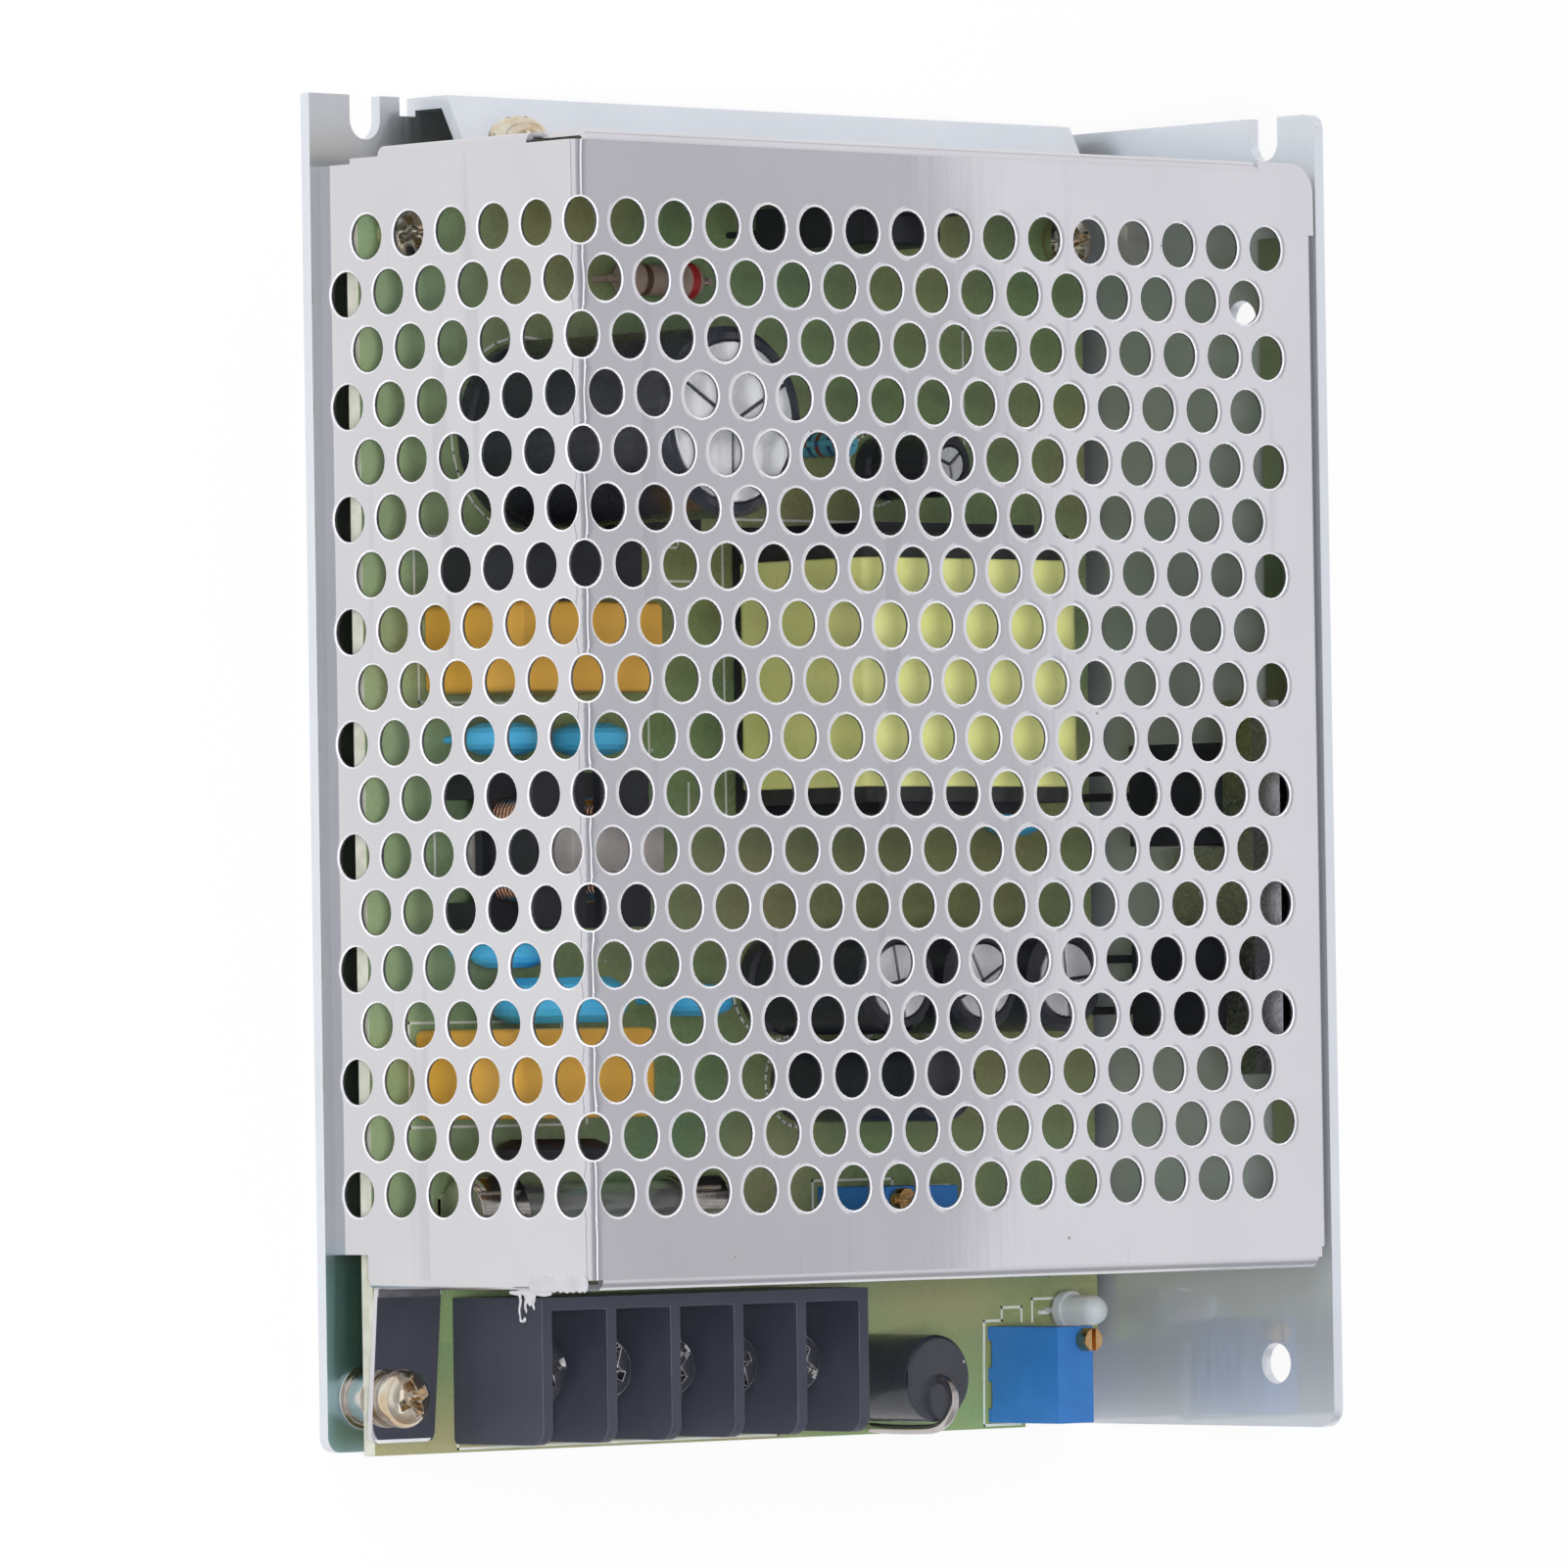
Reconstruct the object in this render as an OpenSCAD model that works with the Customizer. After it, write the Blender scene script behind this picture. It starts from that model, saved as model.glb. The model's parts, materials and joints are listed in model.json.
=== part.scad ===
// Switching power supply: folded chassis, perforated cover, terminal bay and the parts on its board
// Millimetres; origin at the bottom centre of the base, X across, Y to the rear, Z up

/* [Case] */
// Length of the chassis along Y
case_l = 129; // [127:0.5:160]
// Width of the chassis along X
case_w = 100.2; // [98:0.1:140]
// Height to the top of the cover
case_h = 37.2; // [36.6:0.1:60]
// Thickness of the chassis sheet
chassis_t = 1.2; // [0.9:0.1:1.5]
// Thickness of the cover sheet
cover_t = 0.6; // [0.5:0.1:0.9]
// Width of the base left bare beside the cover
base_lip = 1.25; // [0.8:0.05:2.5]
// Depth of the chassis foot behind the cover
rear_foot = 5.5; // [4.5:0.1:8]
// Depth of the open terminal bay in front of the cover
front_bay = 15.7; // [15.2:0.1:18]
// Outer radius of the chassis bend
chassis_bend = 1.8; // [1.6:0.1:3]
// Outer radius of the cover's long fold
cover_bend = 1.3; // [1.1:0.1:1.4]
// Outer radius of the cover's flange bends
flange_bend = 1.0; // [1:0.1:1.3]
// Angle of the chassis foot's sloping lip
foot_slope = 28; // [15:1:40]
// Height of the chassis foot's upright part
foot_h = 5.7; // [4:0.1:7]

/* [Perforation] */
// Diameter of the vent holes
hole_d = 4.2; // [2.5:0.1:4.4]
// Spacing of the vent holes in a row
hole_pitch = 6; // [5.6:0.1:9]
// Spacing of the rows of vent holes
row_pitch = 5.314; // [4.8:0.1:9]

/* [Mounting] */
// Diameter of the round mounting holes in the wall
mount_d = 4; // [3:0.1:5]
// Width of the open mounting slots
slot_w = 3.8; // [3:0.1:5]
// Depth of the open mounting slots
slot_l = 4.2; // [3:0.1:6]
// Height of the wall's front mounting hole
mount_z1 = 29.1; // [24:0.1:31]
// Height of the wall's rear mounting hole
mount_z2 = 26.6; // [10:0.1:30]
// Height of the wall's open slot
slot_z = 30; // [20:0.1:32]

/* [Board] */
// Thickness of the circuit board
board_t = 1.6; // [1:0.1:2]
// Height of the board standoffs
standoff_h = 2.7; // [2:0.1:3.5]
// Diameter of the board standoffs
standoff_d = 5; // [4.4:0.1:5.6]
// Diameter of the case screw heads
screw_head_d = 5.6; // [5:0.1:6]
// Height of the case screw heads with their spring washers
screw_head_h = 2.9; // [2.4:0.1:3.4]

/* [Terminal block] */
// Spacing of the terminals
term_pitch = 8.2; // [7.8:0.05:9.5]
// Thickness of the partitions
term_wall = 1.25; // [1:0.05:1.5]
// Depth of the terminal block
term_depth = 13.9; // [13:0.1:16]
// Height of the partitions above the board
term_h = 12.7; // [11:0.1:16]
// Height of the compartment floor above the board
term_floor = 4.2; // [3.8:0.1:5]
// Diameter of the terminal screw heads
term_head_d = 5.6; // [4.5:0.1:5.8]

/* [Bay parts] */
// Length of the trimmers
trim_l = 9.5; // [8:0.1:10]
// Width of the trimmers
trim_w = 4.8; // [4.4:0.1:5]
// Height of the trimmers
trim_h = 10; // [8:0.1:12]
// Diameter of the trimmer screws
trim_screw_d = 2.3; // [2:0.1:2.4]
// Diameter of the light
led_d = 3; // [2.6:0.1:4]
// Diameter of the rod choke
rod_d = 8.5; // [7:0.1:9]
// Height of the rod choke
rod_h = 10.1; // [8:0.1:14]
// Diameter of the rod choke's lead
lead_d = 0.95; // [0.6:0.05:1.1]

/* [Capacitors] */
// Diameter of the bulk capacitor
bulk_d = 18; // [16:0.5:20]
// Height of the bulk capacitor
bulk_h = 29.5; // [20:0.5:30]
// Diameter of the output capacitors
out_d = 10; // [8:0.5:11]
// Height of the output capacitors
out_h = 18; // [12:0.5:25]
// Diameter of the auxiliary capacitor
aux_d = 6.3; // [5:0.1:8]
// Height of the auxiliary capacitor
aux_h = 10.7; // [7:0.1:15]
// Length of the film capacitors
film_l = 18; // [15:0.5:20]
// Thickness of the film capacitors
film_w = 8.5; // [7:0.1:9.5]
// Height of the film capacitors
film_h = 14.1; // [11:0.1:18]
// Diameter of the safety capacitors
safety_d = 7.4; // [6:0.1:8.5]
// Thickness of the safety capacitors
safety_t = 3; // [2.5:0.1:3.6]

/* [Wound parts] */
// Diameter of the filter choke
filter_d = 8; // [6:0.1:8.6]
// Height of the filter choke
filter_h = 21; // [14:0.5:26]
// Width of the transformer
trafo_w = 28.3; // [24:0.1:31]
// Length of the transformer over its bobbin
trafo_l = 28; // [25:0.1:30]
// Height of the transformer
trafo_h = 21; // [18:0.1:26]
// Width of the line choke
line_w = 14.5; // [13:0.1:17]
// Length of the line choke
line_l = 14.8; // [13:0.1:16.5]
// Height of the line choke
line_h = 17.2; // [15:0.1:22]

/* [Protection] */
// Diameter of the varistor
var_d = 13; // [10:0.5:14]
// Thickness of the varistor
var_t = 4.3; // [3.5:0.1:5]
// Diameter of the thermistor
ntc_d = 11; // [8:0.5:13]
// Thickness of the thermistor
ntc_t = 3; // [2.5:0.1:4]
// Diameter of the fuse's caps
fuse_d = 6.3; // [5:0.1:6.5]
// Length of the fuse
fuse_l = 32; // [26:0.5:34]

/* [Semiconductors] */
// Width of the power devices
device_w = 10; // [9:0.1:11]
// Thickness of the power devices
device_t = 4.5; // [4:0.1:5]
// Height of the power devices' bodies
device_h = 15.4; // [13:0.1:16]
// Width of the bridge rectifier
bridge_w = 15; // [12:0.5:17]
// Thickness of the bridge rectifier
bridge_t = 5.4; // [4:0.1:6]
// Height of the bridge rectifier
bridge_h = 15; // [11:0.5:17]

/* [Hidden] */
$fn = 48;
eps = 0.01;
// Case faces
x_l = -case_w / 2;
x_r = case_w / 2;
y_f = -case_l / 2;
y_r = case_l / 2;
wall_in = x_r - chassis_t;
wall_y1 = y_r - 0.5;
wall_top = case_h - 0.2;
base_y0 = y_f + 0.3;
cover_x = x_l + base_lip;
cover_rx = wall_in - 0.55;
cover_f = y_f + front_bay;
cover_r = y_r - rear_foot;
rear_in = cover_r - cover_t;
// Chassis details
slot_x = x_l + 7;
hem_x0 = x_l + 13.4;
hem_x1 = x_r - 4.1;
hem_lean = chassis_t * (1 - sin(foot_slope)) / cos(foot_slope);
hem_z = foot_h + (y_r - rear_in) * tan(foot_slope);
rear_top = case_h - 5;
rear_screw_x = x_l + 14.1;
rear_screw_z = 15;
mount_y1 = y_f + 6.2;
mount_y2 = y_r - 20.3;
// Board and standoffs
board_z = chassis_t + standoff_h;
top = board_z + board_t;
board_x0 = cover_x + cover_t + 0.25;
board_x1 = wall_in - 1.3;
board_y1 = rear_in - chassis_t - 0.7;
post_at = [
    [cover_x + 3, y_f + 5.4, cover_t],
    [x_l + 6.8, cover_r - 7.9, 0],
    [x_r - 7.6, y_f + 18.9, 0],
    [x_r - 5.6, cover_r - 6.1, 0]
];
screw_d = 2.9;
screw_l = 5.4;
// Cover plates
plate_x0 = cover_x + cover_bend;
plate_x1 = cover_rx - flange_bend;
plate_y0 = cover_f + flange_bend;
plate_y1 = cover_r - flange_bend;
fold_z = case_h - cover_bend;
brow_x0 = cover_x + 3.2;
brow_x1 = cover_rx - 7.5;
brow_h = 5;
rear_brow_h = 6;
seam_y1 = cover_r - 7;
seam_h = 7;
cheek_z1 = case_h - 6.7;
cheek_x1 = cover_x + 9.4;
rear_cheek_x1 = cover_x + 22;
rear_cheek_z0 = hem_z + 0.5;
tab_y0 = y_f + 1.2;
// Perforation counts follow the sheet
row_y0 = cover_r - 8.5;
row_n = floor((row_y0 - cover_f - 8.5) / row_pitch) + 1;
top_off = 0.61;
side_off = 0.445;
top_n = floor((cover_rx - cover_x - top_off - 5) / hole_pitch);
side_h = case_h - chassis_t + side_off;
even_n = floor((side_h - 4.2) / hole_pitch);
odd_n = floor((side_h - 3.2) / hole_pitch + 0.5);
// Terminal block
term_n = 5;
term_x0 = cover_x + 10.85;
term_x1 = term_x0 + term_n * term_pitch + term_wall;
term_y0 = y_f + 0.8;
term_y1 = term_y0 + term_depth;
term_z = top + term_floor;
plate_t = 0.8;
washer_t = 1;
washer_a = 6;
term_head_h = 2;
term_screw_y = term_y0 + 6.8;
term_shank_d = 3;
term_shank_l = 4;
seat_gap = 0.1;
washer_z = term_z + plate_t + seat_gap;
head_z = washer_z + washer_t + 0.05;
fit_gap = 0.08;
// Bay parts
rod_x = term_x1 + 7.5 + rod_d / 2;
rod_y = y_f + 1.3 + rod_d / 2;
lead_y = rod_y - rod_d / 2 - lead_d / 2 - 0.15;
lead_r = 1.5;
trim_x1 = board_x1 - 10.5;
trim_y1 = y_f + 0.6 + trim_l;
trim_pin = [1.3, trim_w - 1.3];
led_x = board_x1 - 6.4;
led_y = y_f + 11.5;
led_lift = 2;
notch_x = trim_x1 + 0.3;
notch_y = y_f + 8.2;
inner_trim_x = x_l + 59.7;
inner_trim_y = y_f + 19.5;
// Left lane, from the front to the rear
lane_x = x_l + 9.4;
fuse_y = y_f + 22.6;
fuse_z = top + 4.6;
ntc_y = fuse_y + fuse_d / 2 + 0.85;
film_y1 = ntc_y + ntc_t + 2;
var_y = film_y1 + film_w + 0.5;
safety_y1 = var_y + var_t + 1;
line_y = safety_y1 + safety_t + 0.7;
safety_y2 = line_y + line_l + 1.7;
film_y2 = safety_y2 + safety_t + 2.8;
bridge_y = film_y2 + film_w + 0.5;
line_x = lane_x + 2.1;
line_rim = 1.4;
line_leg = line_w * 0.24;
bulk_y = bridge_y + bridge_t + 1.5 + bulk_d / 2;
bulk_x = lane_x + 13.6;
safety_at = [
    [lane_x + 5.2, safety_y2],
    [lane_x + 16.3, safety_y2],
    [lane_x + 5.6, safety_y1],
    [lane_x + 29.4, var_y + 0.5]
];
// Middle lane
filter_x = x_l + 57.5;
filter_y = inner_trim_y + trim_w + 6.3 + filter_d / 2;
out_x = x_l + 54.3;
out_y = filter_y + filter_d / 2 + 0.5 + out_d / 2;
out_pitch = out_d + 1.2;
trafo_x = x_l + 47.8;
trafo_y = out_y + out_d / 2 + 11.2;
aux_x = x_l + 69;
aux_y = trafo_y + trafo_l + 3 + aux_d / 2;
stand_x = x_l + 58.6;
stand_y = aux_y + 2;
chip_x = lane_x + 28;
chip_y = bulk_y - 6;
opto_x = x_l + 75;
opto_y = inner_trim_y + 0.2;
snub_x = x_l + 83.3;
snub_y = trafo_y - 1.9;
res_x = x_l + 38.7;
res_y = cover_r - 11.5;
reg_x = x_l + 47.4;
reg_y = cover_r - 8.8;
// Wall devices
pad_t = 0.2;
dev_x0 = wall_in - pad_t - device_t;
dev_z1 = case_h - seam_h - 0.6;
dev_z0 = dev_z1 - device_h;
dev_y1 = y_f + 38.6;
dev_y2 = dev_y1 + device_w + 8.6;
clamp_y = dev_y1 + device_w + 0.3;
clamp_w = 8;
clamp_h = 9;
bar_y1 = dev_y2 + device_w + 4;
clamp_z = dev_z1 - 4;
clamp_d = 3;

// Block between two opposite corners
module slab(a, b) {
    translate(a)
        cube([b[0] - a[0], b[1] - a[1], b[2] - a[2]]);
}

// Profile in Y and Z drawn out along X
module along_x(x0, length) {
    translate([x0, 0, 0])
        rotate([90, 0, 90])
            linear_extrude(height = length)
                children();
}

// Profile in X and Z drawn out along Y
module along_y(y0, length) {
    translate([0, y0 + length, 0])
        rotate([90, 0, 0])
            linear_extrude(height = length)
                children();
}

// Flat rectangle between two opposite corners
module rect(a, b) {
    translate(a)
        square([b[0] - a[0], b[1] - a[1]]);
}

// Flat rectangle with round corners
module round_rect(a, b, r) {
    rect([a[0] + r, a[1]], [b[0] - r, b[1]]);
    rect([a[0], a[1] + r], [b[0], b[1] - r]);
    for (x = [a[0] + r, b[0] - r])
        for (y = [a[1] + r, b[1] - r])
            translate([x, y])
                circle(r = r);
}

// Waste outside a round corner that points to minus X and minus Y
module corner_waste(r) {
    difference() {
        translate([-1, -1])
            square(r + 1);
        translate([r, r])
            circle(r = r);
    }
}

// Quarter of a bent sheet around the origin, in the quadrant of plus X and plus Y
module bend_profile(r, t) {
    intersection() {
        difference() {
            circle(r = r);
            circle(r = r - t);
        }
        square(r + 1);
    }
}

// Pan-head screw with spring washer, seat at the origin, head upwards
module case_screw(length) {
    r = screw_head_d / 2;
    h = screw_head_h;
    difference() {
        union() {
            rotate_extrude()
                polygon([[0, 0], [r - 0.35, 0], [r - 0.35, 0.7], [r, 0.8], [r, 1.3], [r - 0.35, 2],
                    [r - 1.2, h - 0.25], [r - 1.9, h], [0, h]]);
            translate([0, 0, -length])
                cylinder(h = length + eps, d = screw_d);
        }
        for (a = [0, 90])
            rotate([0, 0, a])
                translate([-1.5, -0.4, h - 1.1])
                    cube([3, 0.8, 2]);
    }
}

// Sleeved radial capacitor standing at the origin
module can(d, h) {
    r = d / 2;
    rotate_extrude()
        polygon([[0, 0], [r - 0.7, 0], [r, 0.5], [r, 1.9], [r - 0.4, 2.3], [r - 0.4, 2.7], [r, 3.1],
            [r, h - 0.6], [r - 0.6, h], [r - 1.2, h], [r - 1.4, h - 0.4], [0, h - 0.4]]);
}

// Coated disc on two legs, standing at the origin, thickness towards plus Y
module coated_disc(d, t, lift) {
    r = d / 2;
    b = t * 0.32;
    translate([0, t, lift + r])
        rotate([90, 0, 0])
            rotate_extrude()
                polygon([[0, 0], [r - 1.5, 0], [r - 0.4, b * 0.5], [r, b], [r, t - b],
                    [r - 0.4, t - b * 0.5], [r - 1.5, t], [0, t]]);
    for (x = [-d * 0.3, d * 0.3])
        translate([x, t / 2, 0])
            cylinder(h = lift + r * 0.4, d = 0.7);
}

// Power device: moulded body above three legs, its front towards minus Y
module power_device(w, t, h, lift) {
    along_x(0, w)
        polygon([[0.3, lift], [t, lift], [t, lift + h], [0.3, lift + h], [0, lift + h - 0.6],
            [0, lift + 0.6]]);
    for (x = [w / 2 - 2.54, w / 2, w / 2 + 2.54])
        slab([x - 0.4, t * 0.5 - 0.3, 0], [x + 0.4, t * 0.5 + 0.3, lift + 1]);
}

// Dual-row chip standing at the origin, n legs a side along X
module chip(w, d, h, n) {
    translate([-w / 2, -d / 2, 0.6])
        cube([w, d, h]);
    for (i = [0 : n - 1])
        for (s = [-1, 1])
            translate([(i - (n - 1) / 2) * 2.54 - 0.3, s * (d / 2 + 0.35) - 0.4, 0])
                cube([0.6, 0.8, 2]);
}

// Trimmer body with feet, corner at the origin, length along X
module trimmer_case() {
    difference() {
        union() {
            translate([0, 0, 0.5])
                cube([trim_l, trim_w, trim_h - 0.5]);
            for (x = [0, trim_l / 2 - 0.7, trim_l - 1.4])
                translate([x, 0, 0])
                    cube([1.4, trim_w, 1]);
        }
        translate([trim_pin[0], trim_pin[1], trim_h - 2.5])
            cylinder(h = 3, r = 0.8 + 0.06);
    }
}

// Slotted brass screw of a trimmer
module trimmer_pin() {
    translate([trim_pin[0], trim_pin[1], trim_h]) {
        translate([0, 0, -2.2])
            cylinder(h = 2.4, r = 0.8);
        difference() {
            translate([0, 0, 0.05])
                cylinder(h = 1.45, d = trim_screw_d);
            translate([-2, -0.25, 0.9])
                cube([4, 0.5, 2]);
        }
    }
}

// Place of the front trimmer
module at_front_trimmer() {
    translate([trim_x1 - trim_w, trim_y1, top])
        rotate([0, 0, -90])
            children();
}

// Place of the inner trimmer
module at_inner_trimmer() {
    translate([inner_trim_x, inner_trim_y, top])
        children();
}

// Left face of one upright leg of the line choke's core
function line_leg_x(i) = line_x + line_rim + i * (line_w - 2 * line_rim - line_leg);

// Middle of one terminal compartment
function term_x(i) = term_x0 + term_wall + (i + 0.5) * term_pitch - term_wall / 2;

// Base sheet with its slot, notch and standoff holes
module base_sheet() {
    linear_extrude(height = chassis_t)
        difference() {
            rect([x_l, base_y0], [x_r - chassis_bend + eps, y_r]);
            translate([x_l, base_y0])
                corner_waste(1.5);
            translate([slot_x, y_r - slot_l + slot_w / 2])
                circle(d = slot_w);
            rect([slot_x - slot_w / 2, y_r - slot_l + slot_w / 2], [slot_x + slot_w / 2, y_r + 1]);
            rect([hem_x0 - 2, y_r - 1.8], [hem_x0, y_r + 1]);
            rect([hem_x1, y_r - 1.8], [hem_x1 + 1.6, y_r + 1]);
            for (p = post_at)
                translate([p[0], p[1]])
                    circle(d = standoff_d - 0.8);
        }
}

// Heat-sink wall with its holes and open slot
module wall_sheet() {
    along_x(wall_in, chassis_t)
        difference() {
            rect([y_f, chassis_bend - eps], [wall_y1, wall_top]);
            translate([y_f, wall_top])
                mirror([0, 1])
                    corner_waste(2);
            translate([wall_y1, wall_top])
                mirror([1, 0])
                    mirror([0, 1])
                        corner_waste(1.5);
            translate([mount_y1, mount_z1])
                circle(d = mount_d);
            translate([mount_y2, mount_z2])
                circle(d = mount_d);
            translate([y_r - 4.8 + slot_w / 2, slot_z])
                circle(d = slot_w);
            rect([y_r - 4.8 + slot_w / 2, slot_z - slot_w / 2], [y_r + 1, slot_z + slot_w / 2]);
        }
}

// Foot and rear wall, one folded strip
module rear_strip() {
    along_x(hem_x0, hem_x1 - hem_x0)
        polygon([[y_r, 0], [y_r, foot_h], [rear_in, hem_z], [rear_in, rear_top],
            [rear_in - chassis_t, rear_top], [rear_in - chassis_t, hem_z - hem_lean],
            [y_r - chassis_t, foot_h - hem_lean], [y_r - chassis_t, 0]]);
    slab([hem_x0 - 5, rear_in - chassis_t, hem_z + 1.5], [hem_x0 + eps, rear_in, rear_top]);
}

module chassis() {
    color("gainsboro")
        difference() {
            union() {
                base_sheet();
                wall_sheet();
                rear_strip();
                along_y(y_f, wall_y1 - y_f)
                    translate([x_r - chassis_bend, chassis_bend])
                        mirror([0, 1])
                            bend_profile(chassis_bend, chassis_t);
            }
            translate([rear_screw_x, rear_in + 1, rear_screw_z])
                rotate([90, 0, 0])
                    cylinder(h = chassis_t + 2, d = screw_d + 0.2);
            translate([wall_in - 1, clamp_y + clamp_w / 2, clamp_z])
                rotate([0, 90, 0])
                    cylinder(h = chassis_t + 2, d = clamp_d + 0.3);
            translate([x_r - chassis_t, clamp_y + clamp_w / 2, clamp_z])
                rotate([0, 90, 0])
                    cylinder(h = chassis_t + eps, r1 = clamp_d / 2 + 0.15, r2 = clamp_d / 2 + 1.35);
        }
}

// Flat outline of the cover's top, without holes
module top_outline() {
    rect([plate_x0, plate_y0], [plate_x1, plate_y1]);
    difference() {
        rect([brow_x1, seam_y1], [cover_rx, cover_r]);
        translate([cover_rx, cover_r])
            mirror([1, 0])
                mirror([0, 1])
                    corner_waste(3);
    }
}

// Perforated top of the cover
module cover_top() {
    translate([0, 0, case_h - cover_t])
        linear_extrude(height = cover_t)
            difference() {
                top_outline();
                for (r = [0 : row_n - 1])
                    for (k = [1 : top_n])
                        translate([cover_x + top_off + hole_pitch * (k - (r % 2) * 0.5),
                            row_y0 - r * row_pitch])
                            circle(d = hole_d);
            }
}

// Perforated side of the cover, without the holes that reach the fold
module cover_side() {
    along_x(cover_x, cover_t)
        difference() {
            rect([plate_y0, chassis_t], [plate_y1, fold_z]);
            rect([cover_f - 1, 0], [cover_f + 3.3, top + 0.4]);
            rect([cover_r - 1.5, 0], [cover_r + 1, chassis_t + 4.3]);
            for (r = [0 : row_n - 1])
                for (k = [(r % 2) + 1 : (r % 2 == 0) ? even_n : odd_n])
                    translate([row_y0 - r * row_pitch,
                        case_h + side_off - hole_pitch * (k - (r % 2) * 0.5)])
                        circle(d = hole_d);
        }
}

// Long fold between the cover's side and top
module cover_fold() {
    along_y(plate_y0, plate_y1 - plate_y0)
        translate([plate_x0, fold_z])
            mirror([1, 0])
                bend_profile(cover_bend, cover_t);
}

// Holes that lie on the long fold
module fold_holes() {
    for (r = [0 : row_n - 1])
        translate([cover_x, row_y0 - r * row_pitch, 0])
            if (r % 2 == 0)
                translate([cover_bend, 0, fold_z])
                    rotate([0, -45, 0])
                        translate([0, 0, -3])
                            cylinder(h = 9, d = hole_d - 0.2);
            else
                translate([-1, 0, case_h + side_off - hole_pitch * 0.5])
                    rotate([0, 90, 0])
                        cylinder(h = cover_bend + 1, d = hole_d);
}

// Bent-down edges of the cover's top
module top_flanges() {
    r = flange_bend;
    z1 = case_h - r;
    slab([brow_x0, cover_f, case_h - brow_h], [plate_x1 - 0.5, cover_f + cover_t, z1]);
    along_x(brow_x0, plate_x1 - 0.5 - brow_x0)
        translate([plate_y0, z1])
            mirror([1, 0])
                bend_profile(r, cover_t);
    slab([brow_x0, cover_r - cover_t, case_h - rear_brow_h], [brow_x1, cover_r, z1]);
    along_x(brow_x0, brow_x1 - brow_x0)
        translate([plate_y1, z1])
            bend_profile(r, cover_t);
    slab([cover_rx - cover_t, plate_y0 + 1, case_h - seam_h], [cover_rx, seam_y1, z1]);
    along_y(plate_y0 + 1, seam_y1 - plate_y0 - 1)
        translate([plate_x1, z1])
            bend_profile(r, cover_t);
}

// Bent-in edges of the cover's side and the fixing tab
module side_flanges() {
    r = flange_bend;
    front_z0 = top + 0.5;
    slab([cover_x + r, cover_r - cover_t, rear_cheek_z0], [rear_cheek_x1, cover_r, cheek_z1]);
    translate([cover_x + r, plate_y1, rear_cheek_z0])
        linear_extrude(height = cheek_z1 - rear_cheek_z0)
            mirror([1, 0])
                bend_profile(r, cover_t);
    slab([cover_x + r, cover_f, top], [cheek_x1, cover_f + cover_t, cheek_z1]);
    translate([cover_x + r, plate_y0, front_z0])
        linear_extrude(height = cheek_z1 - front_z0)
            mirror([1, 0])
                mirror([0, 1])
                    bend_profile(r, cover_t);
    translate([0, 0, top])
        linear_extrude(height = cover_t)
            polygon([[cover_x + r, cover_f + cover_t], [cheek_x1 - 0.4, cover_f + cover_t],
                [cheek_x1 - 1.6, tab_y0], [cover_x - 0.1, tab_y0]]);
}

module cover() {
    color("silver")
        difference() {
            union() {
                cover_top();
                cover_side();
                cover_fold();
                top_flanges();
                side_flanges();
            }
            fold_holes();
            translate([rear_screw_x, cover_r + 1, rear_screw_z])
                rotate([90, 0, 0])
                    cylinder(h = cover_t + 2, d = screw_d + 0.4);
            translate([post_at[0][0], post_at[0][1], top - 1])
                cylinder(h = cover_t + 2, d = screw_d + 0.4);
        }
}

module circuit_board() {
    color("yellowgreen")
        translate([0, 0, board_z])
            linear_extrude(height = board_t)
                difference() {
                    rect([board_x0, y_f], [board_x1, board_y1]);
                    rect([notch_x, y_f - 1], [board_x1 + 1, notch_y]);
                    for (p = post_at)
                        translate([p[0], p[1]])
                            circle(d = screw_d + 0.4);
                }
}

module board_standoffs() {
    color("lightgray")
        for (p = post_at)
            translate([p[0], p[1], chassis_t])
                difference() {
                    union() {
                        cylinder(h = standoff_h, d = standoff_d);
                        cylinder(h = 0.4, d = standoff_d + 1);
                        translate([0, 0, -chassis_t])
                            cylinder(h = chassis_t + eps, d = standoff_d - 1);
                    }
                    translate([0, 0, -chassis_t - 1])
                        cylinder(h = standoff_h + chassis_t + 2, d = screw_d + 0.2);
                }
}

module board_screws() {
    color("khaki")
        for (p = post_at)
            translate([p[0], p[1], top + p[2]])
                case_screw(screw_l);
}

module cover_screw() {
    color("khaki")
        translate([rear_screw_x, cover_r, rear_screw_z])
            rotate([-90, 0, 0])
                case_screw(screw_l - 1);
}

module terminal_block() {
    color("dimgray")
        difference() {
            union() {
                slab([term_x0, term_y0 + 0.3, top], [term_x1, term_y1, term_z]);
                slab([term_x0, term_y1 - 1.2, top], [term_x1, term_y1, top + term_h]);
                for (i = [0 : term_n])
                    along_x(term_x0 + i * term_pitch, term_wall)
                        difference() {
                            rect([term_y0, top], [term_y1, top + term_h]);
                            translate([term_y0, top + term_h])
                                mirror([0, 1])
                                    corner_waste(1.6);
                            translate([term_y0, top])
                                corner_waste(0.6);
                        }
            }
            for (i = [0 : term_n - 1])
                translate([term_x(i), term_screw_y, term_z - 3.6])
                    cylinder(h = 4, d = term_shank_d + 0.6);
        }
}

module terminal_plates() {
    color("silver")
        for (i = [0 : term_n - 1])
            translate([term_x(i), 0, 0])
                difference() {
                    slab([-3.2, term_y0 + 1.2, term_z], [3.2, term_y1 - 1.5, term_z + plate_t]);
                    translate([0, term_screw_y, term_z - 1])
                        cylinder(h = 3, d = term_shank_d + 0.6);
                }
}

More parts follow.
